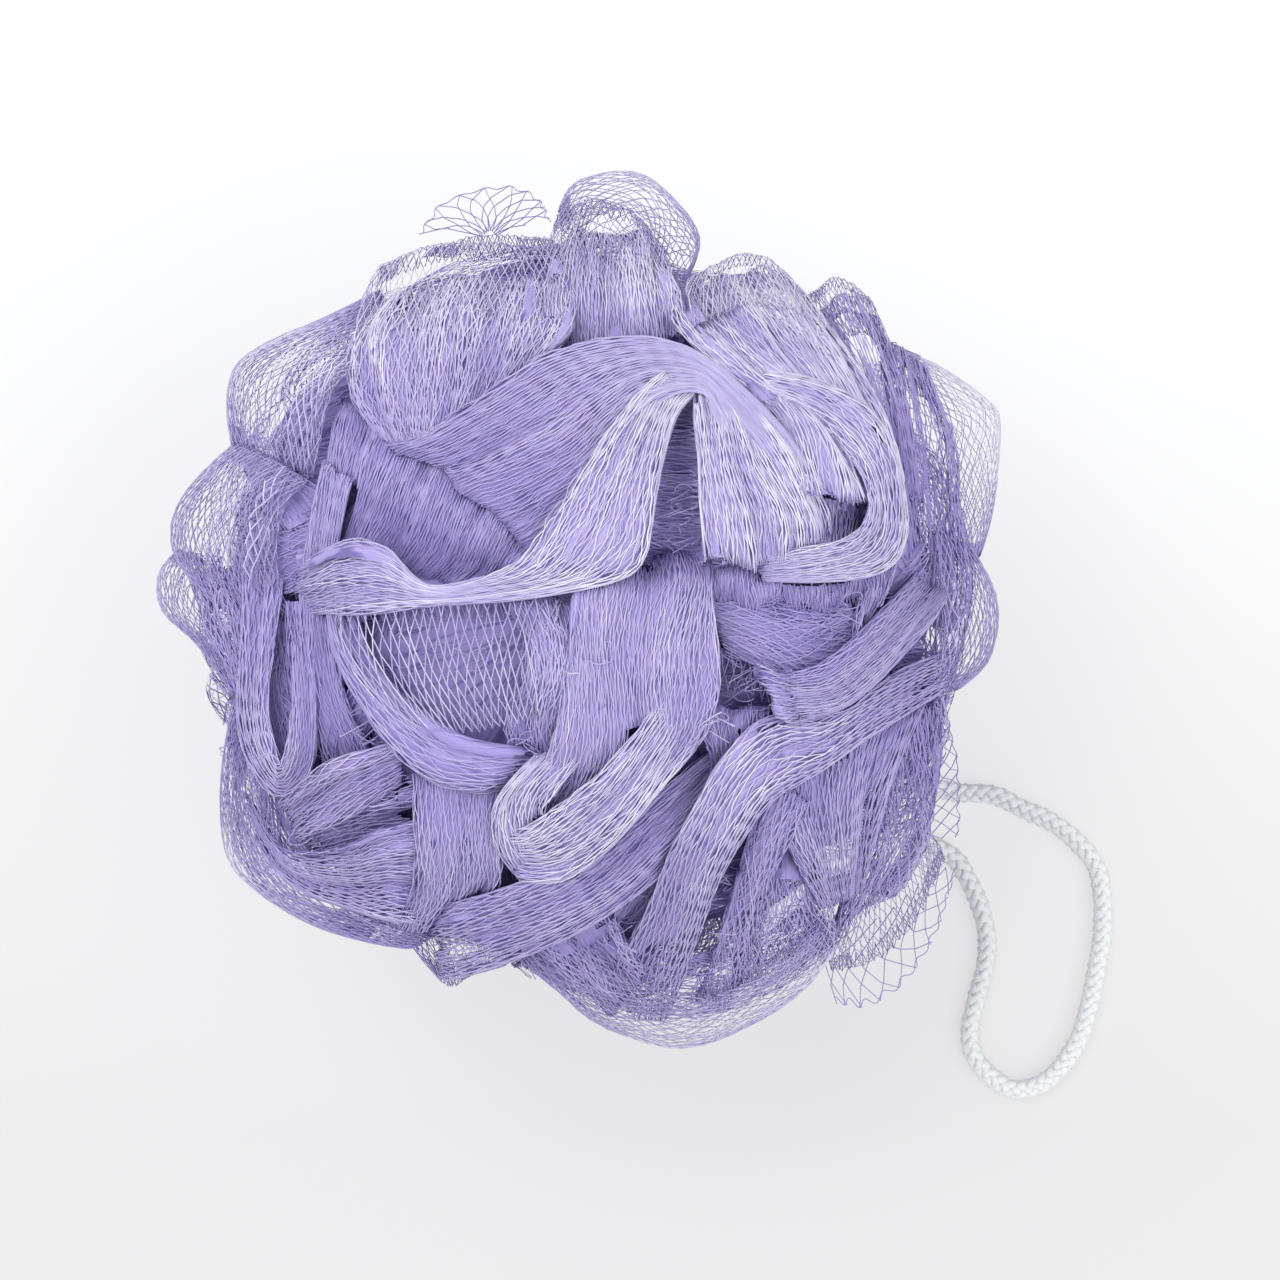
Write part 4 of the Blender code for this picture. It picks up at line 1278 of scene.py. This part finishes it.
def layer_material(name):
    """The closer net below the strands: fine streaks along its lay, painted shade that deepens it under the
    strands above, and scattered dark slits of painted shade.
    """
    made, tree, shader = new_material(name, (0.4, 0.35, 0.7), 0.5)
    lay = attribute(tree, "lay", "Vector")
    along, apart = (node(tree, "VectorMath", "Vector", {0: lay, 1: spread}, operation="MULTIPLY")
                    for spread in (STREAKS, SLITS))
    fine, patch = noise(tree, along, 1, 3), noise(tree, apart, 1, 2)
    streak = maths(tree, "MULTIPLY", maths(tree, "SUBTRACT", 0.5, fine), STREAK_DEPTH)
    # The layer is deepened by painted shade, as it lies under the strands
    base = painted_depth_shade(tree, streak, LAYER_SHADE, attribute(tree, "tone"))
    thin = maths(tree, "MULTIPLY", maths(tree, "SUBTRACT", patch, SLIT_LEVEL), SLIT_EDGE)
    thin = maths(tree, "ADD", thin, maths(tree, "MULTIPLY", streak, SLIT_STREAKS))
    # Mix towards the painted shade of the gap colour in the slits
    slit_shade = node(tree, "Clamp", "Result", {"Value": thin})
    tree.links.new(mixed(tree, slit_shade, base, bpy.context.scene.pouf_net.gap), shader.inputs["Base Color"])
    bumped(tree, shader, fine, 0.5, 0.0003)
    return made


def fold_lots(fold, rows, net, chance, seen):
    """A fold's lots of net, each after the piece that it goes to."""
    kind, tint = fold.kind, fold.tint
    if kind == "cut":
        yield "cut_edges", strands(rows, kind, net.strand, "tube", chance, seen, 0, tint)
        yield "cut_edges", edge_strand(rows, net.strand, tint)
    elif kind not in CLOSED:
        thickness = net.window_strand if kind == "window" else net.open_strand
        yield "rim_folds", strands(rows, kind, thickness, "tube", chance, seen, 0, tint)
        if kind == "open":
            yield "rim_folds", strands(rows, "sheer", thickness, "ribbon", chance, seen, RIM_SHIFT, tint,
                                       SECOND_REACH)
    else:
        group, front = group_of(fold.name, rows)
        form = "roof" if front else "ribbon"
        yield group, strands(rows, kind, net.strand, form, chance, seen, 0, tint + FRONT_TINT)
        if front:
            yield group, strands(rows, kind, net.strand, "ribbon", chance, seen, SECOND_SHIFT,
                                 tint + SECOND_SHADE, SECOND_REACH)
        if fold.veiled:
            yield group, strands(rows, "veil", net.open_strand, "ribbon", chance, seen, VEIL_SHIFT, tint)
        yield LAYERS.get(group, "under_net"), close_layer(rows, chance, seen, tint)


class POUF_OT_net(bpy.types.Operator):
    """Builds every fold of the net: strands over a closer layer, and open rims and edges"""
    bl_idname = "pouf.net"
    bl_label = "Net"

    def execute(self, context):
        net = context.scene.pouf_net
        chance = np.random.default_rng(net.seed)
        strand = strand_material("lilac_strands")
        layer = layer_material("lilac_layers")
        sheets = all_sheets(net.seed)
        cover = cover_of([rows for fold, rows in sheets if fold.kind in CLOSED])
        pieces = {name: [] for name in PIECES}
        for fold, rows in sheets:
            for name, lot in fold_lots(fold, rows, net, chance, shown(rows, cover)):
                pieces[name].append(lot)
        for place in TANGLES:
            pieces["cut_edges"].append(tangle(chart_point(*place), net.strand, chance))
        made = {name: net_object(name, lots, layer if name.endswith("_net") else strand)
                for name, lots in pieces.items()}
        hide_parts("netting")
        packed_net(layer)
        return {"FINISHED"}


def all_sheets(seed):
    """Every fold and its evened, rumpled sheet."""
    chance = np.random.default_rng(seed)
    sheets = []
    for fold in FOLDS:
        strength = 1.0 if fold.kind in CLOSED else RIM_RUMPLES
        sheets.append((fold, rumpled(evened(fold_sheet(fold)), chance, strength)))
    for number in range(DEEP_FOLDS):
        sheets.append((DEEP, rumpled(evened(deep_fold(chance, number)), chance)))
    for number in range(LOWER_FOLDS):
        half = LOWER if number < LOWER_FOLDS // 2 else LOW
        sheets.append((half, rumpled(evened(lower_fold(number)), chance)))
    return sheets


def group_of(name, rows):
    """The piece that a fold belongs to, and whether it has second strands."""
    if name in ("deep", "lower", "low"):
        return name + "_folds", False
    across, along = rows.mean(axis=(0, 1))[:2]
    if math.hypot(across, along) < CROWN_SHARE * POUF_DIAMETER / 2:
        return "crown_folds", True
    return "upper_folds" if along > 0 else "front_folds", True


def packed_net(material):
    """The CAD netting's form drawn in, as the net packed at the middle."""
    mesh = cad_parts["netting"].data.copy()
    form = bmesh.new()
    form.from_mesh(mesh)
    bmesh.ops.remove_doubles(form, verts=form.verts, dist=WELD)
    form.normal_update()
    centre = Vector((0, 0, WAIST_HEIGHT))
    for vertex in form.verts:
        out = vertex.co - vertex.normal * PACKED_SINK - centre
        reach = PACKED_SIDE + (PACKED_TOP - PACKED_SIDE) * max(0, out.z / out.length) ** 2
        vertex.co = centre + out * min(1.0, reach / out.length)
        vertex.co.z = max(vertex.co.z, PACKED_LEAST)
    form.to_mesh(mesh)
    form.free()
    points = np.empty(3 * len(mesh.vertices), np.float32)
    mesh.vertices.foreach_get("co", points)
    points = points.reshape(-1, 3)
    turn = np.arctan2(points[:, 1], points[:, 0])
    lay = np.stack([turn * PACKED_TURN, points[:, 2] / LIFT, points[:, 0] * 0], axis=1)
    # deep sets the painted shade by depth
    add_fields(mesh, deep=deepness(points), lay=lay)
    packed = new_object("packed_net", mesh, material)
    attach(packed, "root")


def cord_route():
    """The cord's centreline from one side of the knot, round the loop on the table, to its other side."""
    level = CORD_DIAMETER / 2 + NET_LEAST
    lying = [(x, y, level) for x, y in LOOP_ROUTE]
    route = [Vector(point) for point in (*UPPER_LEG, *lying, *reversed(LOWER_LEG))]
    reach = TIE_RADIUS + KNOT_OUT
    knot = Vector((reach * math.cos(KNOT_SIDE), reach * math.sin(KNOT_SIDE), WAIST_HEIGHT))
    for end, inner in ((0, route[1]), (-1, route[-2])):
        route[end] = knot + (inner - knot).normalized() * (KNOT_RADIUS + SEAT_GAP)
    line = smooth_line([tuple(point) for point in route], 8 * len(route))
    line[:, 2] = np.maximum(line[:, 2], level)
    return line


def even_line(line, step):
    """The line's points a step apart, and how far along each lies."""
    reach = np.concatenate([[0], np.cumsum(steps(line))])
    run = np.linspace(0, reach[-1], max(2, round(reach[-1] / step)) + 1)
    return np.stack([np.interp(run, reach, line[:, axis]) for axis in range(3)], axis=1), run


def line_frames(line):
    """Two directions across a line at each point, turned as little as may be."""
    ahead = unit(np.gradient(line, axis=0))
    side = unit(np.cross(ahead[0], [0, 0, 1.0]))
    sides = []
    for way in ahead:
        side = unit(side - way * np.dot(side, way))
        sides.append(side)
    sides = np.array(sides)
    return sides, np.cross(ahead, sides)


def yarn_tube(centre, out, around, wide, thick, corners=6):
    """A flat tube along a line: its points and quads, with its ends left open."""
    turns = math.tau * np.arange(corners) / corners
    ring = (centre[:, None] + out[:, None] * (thick / 2 * np.cos(turns))[None, :, None]
            + around[:, None] * (wide / 2 * np.sin(turns))[None, :, None])
    count = len(centre)
    index = np.arange(count * corners).reshape(count, corners)
    beside = np.roll(index, -1, axis=1)
    quads = np.stack([index[:-1], beside[:-1], beside[1:], index[1:]], axis=-1).reshape(-1, 4)
    return ring.reshape(-1, 3), quads


def yarn_material():
    """White yarn with fine fibres along its carriers."""
    made, tree, shader = new_material("white_yarn", bpy.context.scene.pouf_cord.colour, 0.55)
    bumped(tree, shader, noise(tree, node(tree, "TexCoord", "Object"), FIBRE_SCALE, 2), 0.35, 0.0002)
    shader.inputs["Sheen Weight"].default_value = 0.3
    return made


class POUF_OT_cord(bpy.types.Operator):
    """Braids the hanging cord over its route and dresses the tie"""
    bl_idname = "pouf.cord"
    bl_label = "Cord"

    def execute(self, context):
        pitch = context.scene.pouf_cord.pitch
        line, run = even_line(cord_route(), pitch / TURN_STEPS)
        side, up = line_frames(line)
        lots = []
        for carrier in range(CARRIERS):
            way = 1 if carrier < CARRIERS / 2 else -1
            turn = way * math.tau * run / pitch + math.pi / 2 * (carrier % 4)
            lift = CORD_DIAMETER / 2 - CARRIER_DEPTH + way * CARRIER_WAVE * np.cos(8 * math.pi * run / pitch)
            out = side * np.cos(turn)[:, None] + up * np.sin(turn)[:, None]
            centre = line + out * lift[:, None]
            ahead = unit(np.gradient(centre, axis=0))
            around = unit(np.cross(ahead, out))
            out = unit(np.cross(around, ahead))
            lots.append(yarn_tube(centre, out, around, CARRIER_WIDTH, CARRIER_THICKNESS))
        lots.append(yarn_tube(line[::4], side[::4], up[::4], CORE, CORE, 8))
        points, quads = joined(lots)
        points[:, 2] = np.maximum(points[:, 2], CORD_LEAST)
        yarn = yarn_material()
        cord = new_object("braided_cord", quad_mesh("braided_cord", points, quads), yarn)
        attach(cord, "root")
        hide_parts("hanging_cord")
        tuple(line[0])
        [tuple(point) for point in line[::2]]
        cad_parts["centre_tie"].material_slots[0].material = yarn
        return {"FINISHED"}


def floor_material(stage):
    """A pale floor, whiter towards the back; the camera sees part of it in its own colour, so that the shadow
    is faint."""
    made, tree, shader = new_material("pale_floor", stage.floor, 0.7)
    along = node(tree, "SeparateXYZ", "Y", {"Vector": node(tree, "TexCoord", "Object")})
    ends = {"From Min": -FLOOR_BLEND, "From Max": FLOOR_BLEND}
    rise = node(tree, "MapRange", "Result", {"Value": along, **ends})
    colour = mixed(tree, rise, stage.floor, stage.back)
    tree.links.new(colour, shader.inputs["Base Color"])
    own = node(tree, "Emission", "Emission", {"Color": colour})
    share = maths(tree, "MULTIPLY", node(tree, "LightPath", "Is Camera Ray"), stage.glow)
    both = node(tree, "MixShader", "Shader", {"Fac": share, 1: shader.outputs["BSDF"], 2: own})
    tree.links.new(both, tree.nodes["Material Output"].inputs["Surface"])
    return made


class POUF_OT_stage(bpy.types.Operator):
    """Lays the floor, sets the lights and places the camera over the pouf"""
    bl_idname = "pouf.stage"
    bl_label = "Stage"

    def execute(self, context):
        stage = context.scene.pouf_stage
        bpy.ops.mesh.primitive_plane_add(size=4, location=(0, 0, 0))
        floor = context.object
        floor.name = "floor"
        floor.data.transform(floor.matrix_world)
        floor.data.materials.append(floor_material(stage))
        floor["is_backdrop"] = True
        world = bpy.data.worlds.new("studio")
        context.scene.world = world
        world.use_nodes = True
        sky = world.node_tree.nodes["Background"].inputs
        sky["Color"].default_value = (1, 1, 1, 1)
        sky["Strength"].default_value = stage.sky
        for name, place, size, power in (("key", (-0.45, 0.35, 0.95), 0.7, stage.key),
                                         ("fill", (0.55, -0.35, 0.9), 0.9, stage.fill)):
            data = bpy.data.lights.new(name, "AREA")
            data.size = size
            data.energy = power
            lamp = bpy.data.objects.new(name, data)
            lamp.location = place
            aim = Vector((0, 0, WAIST_HEIGHT)) - Vector(place)
            lamp.rotation_euler = aim.to_track_quat("-Z", "Y").to_euler()
            context.scene.collection.objects.link(lamp)
        data = bpy.data.cameras.new("camera")
        camera = bpy.data.objects.new("camera", data)
        context.scene.collection.objects.link(camera)
        span = FRAME_PIXELS * CHART
        data.sensor_width = SENSOR
        data.lens = SENSOR * (CAMERA_ABOVE - WAIST_HEIGHT) / span
        right = (FRAME_PIXELS / 2 - CHART_CENTRE[0]) * CHART
        down = (FRAME_PIXELS / 2 - CHART_CENTRE[1]) * CHART
        camera.location = (right, -down, CAMERA_ABOVE)
        context.scene.camera = camera
        context.scene.view_settings.view_transform = "Standard"
        return {"FINISHED"}


class POUF_PT_panel(bpy.types.Panel):
    """Shows a button for each maker of the pouf: stage, cord and net"""
    bl_idname = "POUF_PT_panel"
    bl_label = "Mesh bath pouf"
    bl_space_type = "VIEW_3D"
    bl_region_type = "UI"
    bl_category = "Pouf"

    def draw(self, context):
        for maker in MAKERS:
            self.layout.operator(maker.bl_idname)


MAKERS = (POUF_OT_stage, POUF_OT_cord, POUF_OT_net)
SETTINGS = (("pouf_net", NetSettings), ("pouf_cord", CordSettings), ("pouf_stage", StageSettings))


def register():
    for name, group in SETTINGS:
        bpy.utils.register_class(group)
        setattr(bpy.types.Scene, name, PointerProperty(type=group))
    for maker in (*MAKERS, POUF_PT_panel):
        bpy.utils.register_class(maker)


def unregister():
    for maker in (POUF_PT_panel, *reversed(MAKERS)):
        bpy.utils.unregister_class(maker)
    for name, group in reversed(SETTINGS):
        delattr(bpy.types.Scene, name)
        bpy.utils.unregister_class(group)


def main():
    register()
    bpy.ops.pouf.stage()
    bpy.ops.pouf.cord()
    bpy.ops.pouf.net()
    boxes = {"cad": CAD_BOX, "visual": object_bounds()}
    plain = {name: [list(map(float, corner)) for corner in box] for name, box in boxes.items()}


if __name__ == "__main__":
    main()
